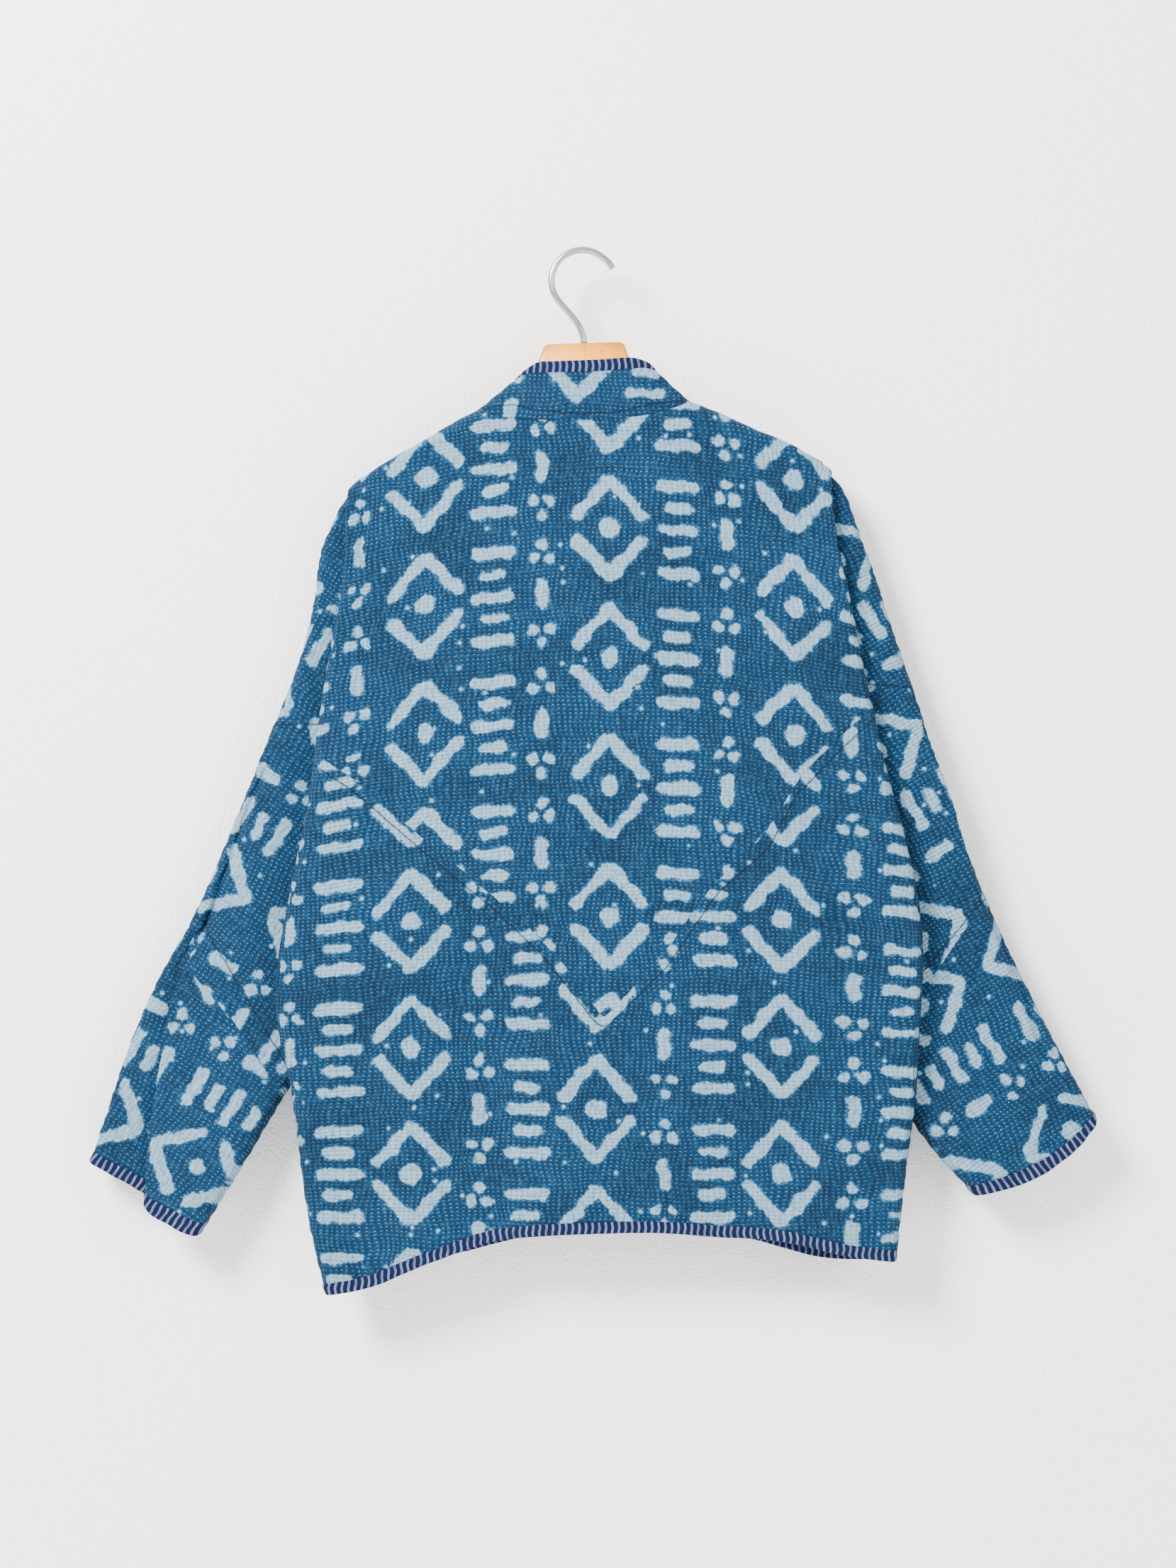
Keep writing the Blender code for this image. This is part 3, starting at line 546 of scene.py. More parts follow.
def printed_cotton(looks):
    """Two layers of thin plain-weave cotton, indigo-dyed over a paste resist and quilted.

    The eye gets a matt, slightly cloudy blue, ragged pale marks with a half-dyed edge, and
    rows of small puckered running stitches, with painted shade in the stitch dimples and in the
    topstitch grooves.
    """
    material, tree = new_material("indigo_resist_kantha_cotton")
    cloth = add(tree, "UVMap", uv_map="cloth")
    place = scaled(tree, cloth, 1000.0)
    seam = add(tree, "Attribute", attribute_name="seam_distance")

    # Paste spreads unevenly, by about 1.5 mm over a mark and 0.5 mm from thread to thread.
    spread = noise(tree, place, 0.075, 1.0)
    fray = noise(tree, place, 0.42, 2.0)
    spread_shift = vector(tree, "SUBTRACT", spread.outputs["Color"], (0.5, 0.5, 0.5))
    fray_shift = vector(tree, "SUBTRACT", fray.outputs["Color"], (0.5, 0.5, 0.5))
    spread_size = scaled(tree, spread_shift, 7.0)
    fray_size = scaled(tree, fray_shift, 3.2)
    nudge = vector(tree, "ADD", spread_size, fray_size)
    drawn = vector(tree, "ADD", place, nudge)
    drawn_xy = add(tree, "SeparateXYZ", (drawn,))

    column = calc(tree, "DIVIDE", drawn_xy.outputs["X"], REPEAT_WIDE)
    column_number = calc(tree, "FLOOR", column)
    odd = calc(tree, "FLOORED_MODULO", column_number, 2.0)
    dropped = calc(tree, "MULTIPLY_ADD", odd, REPEAT_TALL / 2, drawn_xy.outputs["Y"])
    across = calc(tree, "WRAP", drawn_xy.outputs["X"], REPEAT_WIDE, 0.0)
    across_mid = calc(tree, "SUBTRACT", across, REPEAT_WIDE / 2)
    upward = calc(tree, "WRAP", dropped, REPEAT_TALL / 2, -REPEAT_TALL / 2)
    spot = add(tree, "CombineXYZ", (across_mid, upward))

    marks = []
    for stroke in table_rows(STROKES):
        start = (stroke["x1"], stroke["z1"], 0)
        run = (stroke["x2"] - stroke["x1"], stroke["z2"] - stroke["z1"], 0)
        from_start = vector(tree, "SUBTRACT", spot, start)
        share = vector(tree, "DOT_PRODUCT", from_start,
                       tuple(v / (run[0] ** 2 + run[1] ** 2) for v in run))
        kept = calc(tree, "ADD", share.outputs["Value"], 0.0, clamp=True)
        along = scaled(tree, run, kept.outputs[0])
        gap = vector(tree, "DISTANCE", from_start, along)
        marks.append(calc(tree, "SUBTRACT", gap.outputs["Value"], stroke["half"]))
    for dot in table_rows(DOTS):
        reach = vector(tree, "DISTANCE", spot, (dot["x"], dot["z"], 0))
        marks.append(calc(tree, "SUBTRACT", reach.outputs["Value"], dot["radius"]))
    nearest = marks[0]
    for mark in marks[1:]:
        nearest = calc(tree, "MINIMUM", nearest, mark)

    # Splashes of paste, about 3 mm across, fall near the marks.
    drops = add(tree, "TexVoronoi", {"Vector": place, "Scale": 0.045, "Randomness": 1.0},
                voronoi_dimensions="2D")
    drop_size = calc(tree, "MULTIPLY_ADD", drops.outputs["Distance"], 22.0, -1.6)
    drop_pick = add(tree, "SeparateXYZ", (drops.outputs["Color"],))
    drop_kept = calc(tree, "LESS_THAN", drop_pick.outputs["X"], 0.74)
    drop_far = calc(tree, "MULTIPLY_ADD", drop_kept, 30.0, drop_size)
    marked = calc(tree, "MINIMUM", nearest, drop_far)

    # A worn block leaves some marks thin.
    pressure = noise(tree, place, 0.011, 2.0)
    thin = ramp(tree, pressure.outputs["Fac"], 0.56, 0.72, 0.0, 2.6)
    streaks = vector(tree, "MULTIPLY", place, (0.5, 0.07, 0.0))
    streak = noise(tree, streaks, 1.0, 2.0)
    worn = calc(tree, "MULTIPLY", thin, streak.outputs["Fac"])
    pressed = calc(tree, "ADD", marked, worn)
    white = ramp(tree, pressed, 0.5, -0.5, smooth=True)
    bleed = ramp(tree, pressed, 2.2, 0.0, smooth=True)

    # The vat leaves clouds 5 to 15 cm across and short streaks down the cloth.
    clouds = noise(tree, place, 0.014, 4.0, 0.55)
    cloud_share = ramp(tree, clouds.outputs["Fac"], 0.34, 0.62)
    pale = noise(tree, streaks, 0.7, 3.0)
    pale_share = ramp(tree, pale.outputs["Fac"], 0.52, 0.86, end=0.7)
    ground = blend(tree, cloud_share, looks.deep_indigo, looks.indigo)
    mottle = noise(tree, place, 0.16, 4.0, 0.65)
    rubbed = ramp(tree, mottle.outputs["Fac"], 0.5, 0.8, end=0.6)
    paler = calc(tree, "ADD", pale_share, rubbed, clamp=True)
    washed = blend(tree, paler, ground, looks.worn_indigo)
    edged_share = calc(tree, "MULTIPLY", bleed, 0.72)
    edged = blend(tree, edged_share, washed, looks.fringe)
    mottle_share = ramp(tree, mottle.outputs["Fac"], 0.48, 0.8, end=0.6)
    paper = blend(tree, mottle_share, looks.resist, looks.fringe)
    printed = blend(tree, white, edged, paper)

    # Quilting rows wander by a millimetre or two, as a hand's do, and their stitches fall
    # roughly under each other, so that the cloth puckers in short lines across the rows.
    quilted = add(tree, "UVMap", uv_map="quilting")
    quilting = scaled(tree, quilted, 1000.0)
    wander = noise(tree, quilting, 0.02, 1.0)
    place_xy = add(tree, "SeparateXYZ", (quilting,))
    lifted = calc(tree, "MULTIPLY_ADD", wander.outputs["Fac"], 7.0, place_xy.outputs["Y"])
    row = calc(tree, "DIVIDE", lifted, looks.row_pitch / MM)
    row_number = calc(tree, "FLOOR", row)
    row_start = add(tree, "TexWhiteNoise", {"W": row_number}, noise_dimensions="1D")
    stitch = calc(tree, "DIVIDE", place_xy.outputs["X"], looks.stitch_pitch / MM)
    drift = add(tree, "SeparateXYZ", (wander.outputs["Color"],))
    drifted = calc(tree, "MULTIPLY_ADD", drift.outputs["Y"], 3.0, stitch)
    stitch_shift = calc(tree, "MULTIPLY_ADD", row_start.outputs["Value"], 0.4, drifted)
    in_row = calc(tree, "PINGPONG", row, 0.5)
    in_stitch = calc(tree, "PINGPONG", stitch_shift, 0.5)
    # The thread is 0.5 mm thick and is drawn 0.65 mm thick, to show at the size of the picture.
    row_edge = 0.325 * MM / looks.row_pitch
    thread_across = ramp(tree, in_row, row_edge * 1.2, row_edge * 0.7, smooth=True)
    end = looks.stitch_length / looks.stitch_pitch / 2
    thread_along = ramp(tree, in_stitch, end * 1.15, end * 0.8, smooth=True)
    thread_shape = calc(tree, "MULTIPLY", thread_across, thread_along)
    stitch_middle = calc(tree, "ADD", stitch_shift, 0.5)
    stitch_number = calc(tree, "FLOOR", stitch_middle)
    one_stitch = add(tree, "CombineXYZ", (row_number, stitch_number))
    chance = add(tree, "TexWhiteNoise", {"Vector": one_stitch}, noise_dimensions="2D")
    shows = ramp(tree, chance.outputs["Value"], 0.0, 1.0, 0.2)
    thread = calc(tree, "MULTIPLY", thread_shape, shows)
    # Where the thread pulls the cloth in, the dimple beside each stitch is darkened with painted shade,
    # less on the pale marks.
    dimple_across = ramp(tree, in_row, 0.5, 0.1, 0.3, smooth=True)
    dimple_along = ramp(tree, in_stitch, 0.34, 0.46, smooth=True)
    dimple = calc(tree, "MULTIPLY", dimple_across, dimple_along)
    dimple_shade_by_ground = ramp(tree, white, 0.0, 1.0, 0.24, 0.14)
    painted_dimple_shade = calc(tree, "MULTIPLY", dimple, dimple_shade_by_ground)
    shaded = blend(tree, painted_dimple_shade, printed, linear("#091724"))
    dye_in_thread = ramp(tree, clouds.outputs["Fac"], 0.35, 0.65, 0.35, 0.7)
    thread_share = calc(tree, "MULTIPLY", thread, dye_in_thread)
    sewn = blend(tree, thread_share, shaded, looks.thread)

    # Machine topstitching 8 to 9 mm from a seam, in a shallow groove that is darkened with painted shade.
    seam_gap = calc(tree, "ABSOLUTE", seam.outputs["Fac"])
    groove = ramp(tree, seam_gap, 1.0, 0.3, smooth=True)
    painted_groove_shade = calc(tree, "MULTIPLY", groove, 0.75)
    topstitched = blend(tree, painted_groove_shade, sewn, linear("#091827"))

    # Height in millimetres: puckers between rows, thread pulled in, and the weave's own grain.
    pucker = noise(tree, place, 0.16, 3.0, 0.6)
    weave = noise(tree, place, 1.6, 2.0)
    gathers = vector(tree, "MULTIPLY", place, (0.42, 0.2, 0.0))
    gather = noise(tree, gathers, 1.0, 2.0)
    drawn_up = calc(tree, "MULTIPLY_ADD", gather.outputs["Fac"], 1.3, pucker.outputs["Fac"])
    swell = calc(tree, "MULTIPLY_ADD", in_row, 2.3, drawn_up)
    pulled = calc(tree, "MULTIPLY_ADD", dimple, -0.75, swell)
    raised = calc(tree, "MULTIPLY_ADD", thread, 0.25, pulled)
    grained = calc(tree, "MULTIPLY_ADD", weave.outputs["Fac"], 0.18, raised)
    height = calc(tree, "MULTIPLY_ADD", groove, -0.8, grained)
    bump = add(tree, "Bump", {"Strength": 0.9, "Distance": 1.0 * MM, "Height": height})
    shader = add(tree, "BsdfPrincipled", {
        "Base Color": topstitched, "Roughness": 0.92, "IOR": 1.5, "Specular IOR Level": 0.12,
        "Normal": bump})
    add(tree, "OutputMaterial", {"Surface": shader})
    return material


def striped_tape(looks):
    """Bias-cut plain cotton tape, navy with a pale stripe, folded over an edge.

    The eye gets a dark matt rim with short pale bars across it.
    """
    material, tree = new_material("striped_cotton_tape")
    cloth = add(tree, "UVMap", uv_map="cloth")
    place = scaled(tree, cloth, 1000.0)
    wobble = noise(tree, place, 0.3, 2.0)
    place_xy = add(tree, "SeparateXYZ", (place,))
    shifted = calc(tree, "MULTIPLY_ADD", wobble.outputs["Fac"], 0.6, place_xy.outputs["X"])
    count = calc(tree, "DIVIDE", shifted, looks.stripe_pitch / MM)
    from_middle = calc(tree, "PINGPONG", count, 0.5)
    edge = looks.stripe_width / looks.stripe_pitch / 2
    bar = ramp(tree, from_middle, edge * 1.25, edge * 0.75, smooth=True)
    fade = noise(tree, place, 0.09, 2.0)
    fade_share = ramp(tree, fade.outputs["Fac"], 0.3, 0.6, 0.55, 1.0)
    bar_share = calc(tree, "MULTIPLY", bar, fade_share)
    colour = blend(tree, bar_share, looks.navy, looks.stripe)
    # Threads 0.4 mm apart, drawn 0.8 mm apart to show.
    thread = noise(tree, place, 1.25, 2.0)
    bump = add(tree, "Bump", {"Strength": 0.5, "Distance": 0.4 * MM, "Height": thread.outputs["Fac"]})
    shader = add(tree, "BsdfPrincipled", {
        "Base Color": colour, "Roughness": 0.88, "IOR": 1.5, "Specular IOR Level": 0.12,
        "Normal": bump})
    add(tree, "OutputMaterial", {"Surface": shader})
    return material


def varnished_beech(looks):
    """Steamed beech, sawn, sanded and varnished satin.

    The eye gets warm pale bands that slant to a joint in the middle, with short dark flecks, and painted
    shade on the chamfers and sawn edges.
    """
    material, tree = new_material("satin_varnished_beech")
    where = add(tree, "TexCoord")
    place = scaled(tree, where.outputs["Object"], 1000.0)
    place_xyz = add(tree, "SeparateXYZ", (place,))
    from_joint = calc(tree, "SUBTRACT", place_xyz.outputs["X"], BOARD_JOINT)
    halves = calc(tree, "ABSOLUTE", from_joint)
    mirrored = add(tree, "CombineXYZ", (halves, place_xyz.outputs["Y"], place_xyz.outputs["Z"]))
    turned = add(tree, "Mapping", {"Vector": mirrored, "Rotation": (0.0, math.radians(-24), 0.0)})
    stretched = vector(tree, "MULTIPLY", turned, (0.03, 0.5, 0.5))
    bands = add(tree, "TexNoise", {"Vector": stretched, "Scale": 0.55, "Detail": 3.0, "Distortion": 0.3})
    band_share = ramp(tree, bands.outputs["Fac"], 0.3, 0.75)
    fleck_place = vector(tree, "MULTIPLY", turned, (0.22, 1.5, 1.6))
    flecks = noise(tree, fleck_place, 1.0, 1.0, flat=False)
    fleck_share = ramp(tree, flecks.outputs["Fac"], 0.58, 0.7, end=0.7)
    wood = blend(tree, band_share, looks.beech, looks.beech_grain)
    flecked = blend(tree, fleck_share, wood, linear("#A06018"))
    joint = ramp(tree, halves, 0.6, 0.15, end=0.55)
    jointed = blend(tree, joint, flecked, linear("#8A5A30"))
    # Painted shade darkens the sawn edges and chamfers, wherever they turn away from the front and back
    # faces.
    facing = add(tree, "SeparateXYZ", (where.outputs["Normal"],))
    flat_on = calc(tree, "ABSOLUTE", facing.outputs["Y"])
    chamfer_painted_shade = ramp(tree, flat_on, 0.95, 0.8, end=0.75)
    edged = blend(tree, chamfer_painted_shade, jointed, linear("#A55A14"))
    gloss = ramp(tree, bands.outputs["Fac"], 0.0, 1.0, 0.36, 0.5)
    bump = add(tree, "Bump", {"Strength": 0.3, "Distance": 0.15 * MM, "Height": flecks.outputs["Fac"]})
    shader = add(tree, "BsdfPrincipled", {
        "Base Color": edged, "Roughness": gloss, "IOR": 1.5, "Coat Weight": 0.15,
        "Coat Roughness": 0.25, "Normal": bump})
    add(tree, "OutputMaterial", {"Surface": shader})
    return material


def satin_steel(looks):
    """Round steel rod, drawn, bent and plated satin.

    The eye gets a soft grey gleam with a faint grain.
    """
    material, tree = new_material("satin_plated_steel_rod")
    where = add(tree, "TexCoord")
    place = scaled(tree, where.outputs["Object"], 1000.0)
    haze = noise(tree, place, 0.35, 3.0, flat=False)
    rough = ramp(tree, haze.outputs["Fac"], 0.0, 1.0, 0.2, 0.34)
    fine = noise(tree, place, 2.2, 2.0, flat=False)
    bump = add(tree, "Bump", {"Strength": 0.15, "Distance": 0.05 * MM, "Height": fine.outputs["Fac"]})
    shader = add(tree, "BsdfPrincipled", {
        "Base Color": (*looks.steel, 1), "Metallic": 1.0, "Roughness": rough, "Normal": bump})
    add(tree, "OutputMaterial", {"Surface": shader})
    return material


def painted_wall(looks):
    """Matt emulsion on smooth plaster.

    The eye gets an even pale grey with a very faint roller grain. Its back doesn't show.
    """
    material, tree = new_material("matt_emulsion_plaster")
    where = add(tree, "TexCoord")
    patches = noise(tree, where.outputs["Object"], 2.0, 4.0, flat=False)
    patch_share = ramp(tree, patches.outputs["Fac"], 0.3, 0.7, end=0.35)
    colour = blend(tree, patch_share, looks.wall, linear("#F5F4F3"))
    grain = noise(tree, where.outputs["Object"], 400.0, 3.0, flat=False)
    bump = add(tree, "Bump", {"Strength": 1.0, "Distance": 1.6 * MM, "Height": grain.outputs["Fac"]})
    shader = add(tree, "BsdfPrincipled", {
        "Base Color": colour, "Roughness": 0.95, "IOR": 1.45, "Specular IOR Level": 0.1,
        "Normal": bump})
    clear = add(tree, "BsdfTransparent")
    side = add(tree, "NewGeometry")
    either = add(tree, "MixShader", (side.outputs["Backfacing"], shader, clear))
    add(tree, "OutputMaterial", {"Surface": either})
    return material


def shared_material(name, make, looks):
    """The material of that name, made when it is first needed."""
    return bpy.data.materials.get(name) or make(looks)


def lay_panel(piece, node, x, y, z, middle_y):
    """Lays the print and the quilting on a panel, round its side edges too."""
    turn, start_across, start_up = PANEL_LAY[node]
    on_left = x < BODY_MIDDLE
    edge = np.where(on_left, *SIDE_EDGES)
    # Towards a side edge the cloth turns back, and its depth comes to count as width.
    near_edge = smooth_step(60, 12, np.abs(x - edge))
    towards = np.where(on_left, 1.0, -1.0)
    across = x - towards * near_edge * (y - middle_y)
    up = z + DROOP * (x - YOKE_POINT) ** 2 * smooth_step(-900, -250, z)
    angle = math.radians(turn)
    lay_cloth(piece, across * math.cos(angle) + up * math.sin(angle) + start_across,
              up * math.cos(angle) - across * math.sin(angle) + start_up)
    lay_cloth(piece, across, up, "quilting")


def lay_sleeve(piece, node, x, y, z):
    """Lays the print along a sleeve and the quilting rows across it, on both its faces."""
    turn, start_across, start_up = PANEL_LAY[node]
    rows_turn = ROWS_TURN[node.split("_")[1]]
    for name, degrees, right, up in (("cloth", turn, start_across, start_up),
                                     ("quilting", rows_turn, 0, 0)):
        # A part of the tube's depth counts as width, so that its edges aren't drawn out.
        angle = math.radians(degrees)
        along = x * math.cos(angle) + z * math.sin(angle)
        across = z * math.cos(angle) - x * math.sin(angle) + y * 0.6
        lay_cloth(piece, along + right, across + up, name)


class KANTHA_OT_body(bpy.types.Operator):
    """Makes the yoke, the lower back and both fronts"""
    bl_idname = "kantha.body"
    bl_label = "Body panels"

    def execute(self, context):
        looks = context.scene.jacket_cloth
        material = shared_material("indigo_resist_kantha_cotton", printed_cotton, looks)
        for node, name, out, folds in (
                ("back_yoke", "yoke_cloth", -1, BACK_FOLDS),
                ("back_lower", "lower_back_cloth", -1, BACK_FOLDS),
                ("front_left", "left_front_cloth", 1, FRONT_FOLDS),
                ("front_right", "right_front_cloth", 1, FRONT_FOLDS)):
            piece = copy_of_solid(node, name, CLOTH_CREASE, looks.levels)
            x, y, z = points_of(piece)
            lay_panel(piece, node, x, y, z, out * FACE_DEPTH)
            if node == "back_lower":
                mark_seam(piece, line_distance(x, z, V_SEAM) + TOPSTITCH["v"])
            else:
                mark_seam(piece, np.full(x.shape, NO_SEAM))
            free = smooth_step(*FOLDS_FADE, np.abs(y)) * smooth_step(*BODY_FREE, z)
            shift = soft_folds(x, z, folds) + ripple(x, z, BODY_RIPPLE)
            x, z = close_seams(node, x, y, z)
            place_points(piece, x + quilt_waver(z), y + out * free * shift, z)
            finish_piece(piece, node, material)
        return {"FINISHED"}


class KANTHA_OT_sleeves(bpy.types.Operator):
    """Makes both sleeves"""
    bl_idname = "kantha.sleeves"
    bl_label = "Sleeves"

    def execute(self, context):
        looks = context.scene.jacket_cloth
        material = shared_material("indigo_resist_kantha_cotton", printed_cotton, looks)
        for side, head_seam, slant in (("left", LEFT_HEAD_SEAM, LEFT_SLANT),
                                       ("right", RIGHT_HEAD_SEAM, RIGHT_SLANT)):
            for part in ("head", "upper", "lower"):
                node = "sleeve_" + side + "_" + part
                name = side + "_sleeve_" + part + "_cloth"
                piece = copy_of_solid(node, name, CLOTH_CREASE, looks.levels)
                x, y, z = points_of(piece)
                lay_sleeve(piece, node, x, y, z)
                if part == "head":
                    mark_seam(piece, line_distance(x, z, head_seam) - TOPSTITCH["head"])
                elif part == "upper":
                    mark_seam(piece, line_distance(x, z, slant) - TOPSTITCH["slant"])
                else:
                    mark_seam(piece, np.full(x.shape, NO_SEAM))
                shift = soft_folds(x, z, SLEEVE_FOLDS) + ripple(x, z, SLEEVE_RIPPLE)
                shift -= tuck_depth(x, y, z)
                free = smooth_step(*SLEEVES_FREE, z)
                x, z = close_seams(node, x, y, z)
                place_points(piece, x + quilt_waver(z), y - free * shift, z)
                finish_piece(piece, node, material)
        return {"FINISHED"}


class KANTHA_OT_collar(bpy.types.Operator):
    """Makes the band collar"""
    bl_idname = "kantha.collar"
    bl_label = "Collar"

    def execute(self, context):
        looks = context.scene.jacket_cloth
        material = shared_material("indigo_resist_kantha_cotton", printed_cotton, looks)
        piece = copy_of_solid("collar", "collar_cloth", CLOTH_CREASE, looks.levels)
        x, y, z = points_of(piece)
        start_across, start_up = COLLAR_LAY
        # The band turns to the front at the neck's sides, 95 mm from the middle.
        round_neck = np.where(y < 3, x, np.where(x < 0, -190 - x, 190 - x))
        lay_cloth(piece, round_neck + start_across, z + start_up)
        lay_cloth(piece, round_neck, z, "quilting")
        mark_seam(piece, line_distance(x, z, COLLAR_SEAM) - TOPSTITCH["collar"])
        x, z = close_seams("collar", x, y, z)
        place_points(piece, x + quilt_waver(z), y, z)
        finish_piece(piece, "collar", material)
        return {"FINISHED"}


class KANTHA_OT_tapes(bpy.types.Operator):
    """Makes the striped tapes of the collar, the fronts, the hem and the cuffs"""
    bl_idname = "kantha.tapes"
    bl_label = "Striped tapes"

    def execute(self, context):
        looks = context.scene.jacket_tape
        material = shared_material("striped_cotton_tape", striped_tape, looks)
        for node, name, turn in (
                ("collar_binding", "collar_tape", 0), ("hem_binding", "hem_tape", 0),
                ("front_left_binding", "left_front_tape", 90),
                ("front_right_binding", "right_front_tape", 90),
                ("cuff_left_binding", "left_cuff_tape", -33),
                ("cuff_right_binding", "right_cuff_tape", 33)):
            piece = copy_of_solid(node, name, TAPE_CREASE, TAPE_LEVELS)
            x, y, z = points_of(piece)
            angle = math.radians(turn)
            along = x * math.cos(angle) + z * math.sin(angle)
            lay_cloth(piece, along, z * math.cos(angle) - x * math.sin(angle) + y)
            shift = np.zeros(x.shape)
            if node == "hem_binding":
                wave = ripple(x, z, BODY_RIPPLE)
                shift = np.where(y < 0, -soft_folds(x, z, BACK_FOLDS) - wave,
                                 soft_folds(x, z, FRONT_FOLDS) + wave)
                shift *= smooth_step(*FOLDS_FADE, np.abs(y))
            elif node.startswith("front"):
                shift = soft_folds(x, z, FRONT_FOLDS) + ripple(x, z, BODY_RIPPLE)
                shift *= smooth_step(*BODY_FREE, z)
            elif node.startswith("cuff"):
                shift = -soft_folds(x, z, SLEEVE_FOLDS) - ripple(x, z, SLEEVE_RIPPLE)
                shift += tuck_depth(x, y, z)
            x, z = close_seams(node, x, y, z)
            place_points(piece, x + quilt_waver(z), y + shift, z)
            finish_piece(piece, node, material)
        return {"FINISHED"}


class KANTHA_OT_hanger(bpy.types.Operator):
    """Makes the wooden hanger and its hook"""
    bl_idname = "kantha.hanger"
    bl_label = "Hanger and hook"

    def execute(self, context):
        looks = context.scene.hanger_looks
        wood = shared_material("satin_varnished_beech", varnished_beech, looks)
        steel = shared_material("satin_plated_steel_rod", satin_steel, looks)
        for node, name, levels, crease, sharp, material, slot in (
                ("hanger", "beech_hanger", 0, 0.0, WOOD_SHARP_ANGLE, wood, "beech"),
                ("hook", "rod_hook", 2, CLOTH_CREASE, SHARP_ANGLE, steel, "steel")):
            piece = copy_of_solid(node, name, crease, levels)
            place_points(piece, *points_of(piece), sharp)
            finish_piece(piece, node, material)
        return {"FINISHED"}


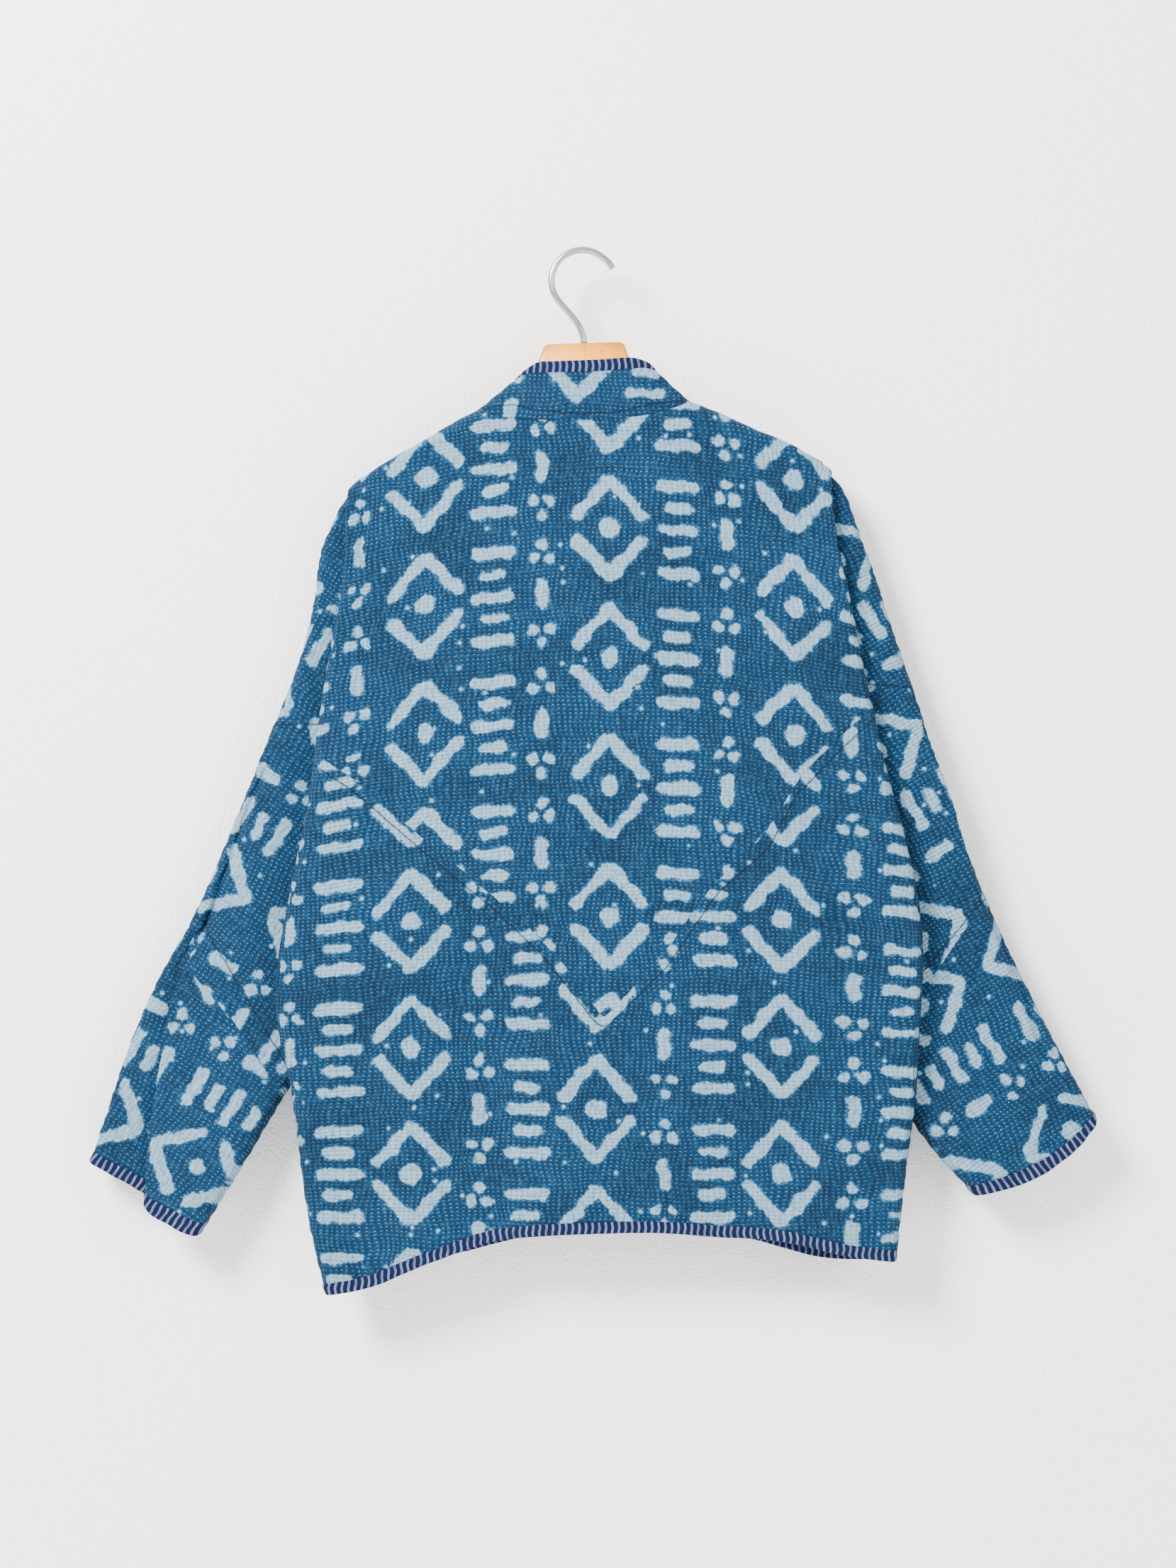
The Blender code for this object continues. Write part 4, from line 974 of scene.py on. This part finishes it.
class KANTHA_OT_stage(bpy.types.Operator):
    """Makes the wall, the floor, the lights and the camera"""
    bl_idname = "kantha.stage"
    bl_label = "Studio"

    def execute(self, context):
        looks = context.scene.room_looks
        # An edge is drawn 6.9 m back as the floor, up round a cove, and 4.5 m up as the wall.
        shape = bmesh.new()
        ends = [shape.verts.new((side, -7, -looks.floor_drop)) for side in (-6, 6)]
        run = shape.edges.new(ends)
        cove, turn = 0.1, 0.157
        steps = [(0, 6.9, 0)]
        for a in (i * turn for i in range(10)):
            steps.append((0, cove * (math.sin(a + turn) - math.sin(a)),
                          cove * (math.cos(a) - math.cos(a + turn))))
        steps.append((0, 0, 4.5))
        for step in steps:
            grown = bmesh.ops.extrude_edge_only(shape, edges=[run])
            corners = [v for v in grown["geom"] if isinstance(v, bmesh.types.BMVert)]
            run = [e for e in grown["geom"] if isinstance(e, bmesh.types.BMEdge)][0]
            bmesh.ops.translate(shape, verts=corners, vec=step)
        bmesh.ops.translate(shape, verts=shape.verts, vec=(0, looks.wall_gap, 0))
        bmesh.ops.recalc_face_normals(shape, faces=shape.faces)
        mesh = bpy.data.meshes.new("wall_and_floor")
        shape.to_mesh(mesh)
        shape.free()
        if mesh.polygons[0].normal.z < 0:
            mesh.flip_normals()
        mesh.polygons.foreach_set("use_smooth", [True] * len(mesh.polygons))
        mesh.materials.append(painted_wall(looks))
        wall = bpy.data.objects.new("wall_and_floor", mesh)
        context.scene.collection.objects.link(wall)
        wall.visible_shadow = False

        for name, place, aim, size, power in (
                ("key_light", (-1.7, -2.3, 1.35), (0.0, 0.0, -0.5), 1.2, 370),
                ("fill_light", (2.2, -2.6, 0.2), (0.0, 0.0, -0.5), 2.2, 75),
                ("back_light", (0.0, 3.0, 1.4), (0.0, 0.0, -0.4), 2.2, 120)):
            light = bpy.data.lights.new(name, "AREA")
            light.shape = "DISK"
            light.size = size
            light.energy = power
            lamp = bpy.data.objects.new(name, light)
            lamp.location = place
            run_x, run_y, run_z = (a - b for a, b in zip(aim, place))
            tilt = math.atan2(math.hypot(run_x, run_y), -run_z)
            lamp.rotation_euler = (tilt, 0, math.atan2(-run_x, run_y))
            context.scene.collection.objects.link(lamp)
        # The room is brightest in front and dimmer to the sides.
        world = bpy.data.worlds.new("soft_daylight")
        world.use_nodes = True
        world.node_tree.nodes.clear()
        towards = add(world.node_tree, "TexCoord")
        sides = add(world.node_tree, "SeparateXYZ", (towards.outputs["Generated"],))
        aside = calc(world.node_tree, "ABSOLUTE", sides.outputs["X"])
        strength = ramp(world.node_tree, aside, 0.3, 1.0, 1.45, 0.5)
        light = add(world.node_tree, "Background", {"Color": (*linear("#F4F6F8"), 1), "Strength": strength})
        add(world.node_tree, "OutputWorld", {"Surface": light})
        context.scene.world = world

        camera = bpy.data.cameras.new("camera")
        camera.sensor_fit = "VERTICAL"
        camera.sensor_height = 36
        camera.lens = camera.sensor_height * CAMERA_AWAY / VIEW_TALL
        eye = bpy.data.objects.new("camera", camera)
        eye.location = (0.007, -CAMERA_AWAY, -0.464)
        eye.rotation_euler = (math.radians(90), 0, 0)
        context.scene.collection.objects.link(eye)
        context.scene.camera = eye
        return {"FINISHED"}


STEPS = (KANTHA_OT_stage, KANTHA_OT_body, KANTHA_OT_sleeves, KANTHA_OT_collar, KANTHA_OT_tapes,
         KANTHA_OT_hanger)
GROUPS = (("jacket_cloth", JacketCloth), ("jacket_tape", JacketTape), ("hanger_looks", HangerLooks),
          ("room_looks", RoomLooks))


class KANTHA_PT_panel(bpy.types.Panel):
    """Lists the jacket's steps and looks"""
    bl_label = "Kantha jacket"
    bl_idname = "KANTHA_PT_panel"
    bl_space_type = "VIEW_3D"
    bl_region_type = "UI"
    bl_category = "Kantha jacket"

    def draw(self, context):
        for step in STEPS:
            self.layout.operator(step.bl_idname)
        for name, group in GROUPS:
            for key in group.__annotations__:
                self.layout.prop(getattr(context.scene, name), key)


def register():
    for name, group in GROUPS:
        bpy.utils.register_class(group)
        setattr(bpy.types.Scene, name, bpy.props.PointerProperty(type=group))
    for step in STEPS:
        bpy.utils.register_class(step)
    bpy.utils.register_class(KANTHA_PT_panel)


def unregister():
    bpy.utils.unregister_class(KANTHA_PT_panel)
    for step in reversed(STEPS):
        bpy.utils.unregister_class(step)
    for name, group in reversed(GROUPS):
        delattr(bpy.types.Scene, name)
        bpy.utils.unregister_class(group)


def main():
    """Makes the whole scene, and keeps its sizes."""
    register()
    bpy.ops.kantha.stage()
    bpy.ops.kantha.body()
    bpy.ops.kantha.sleeves()
    bpy.ops.kantha.collar()
    bpy.ops.kantha.tapes()
    bpy.ops.kantha.hanger()


if __name__ == "__main__":
    main()
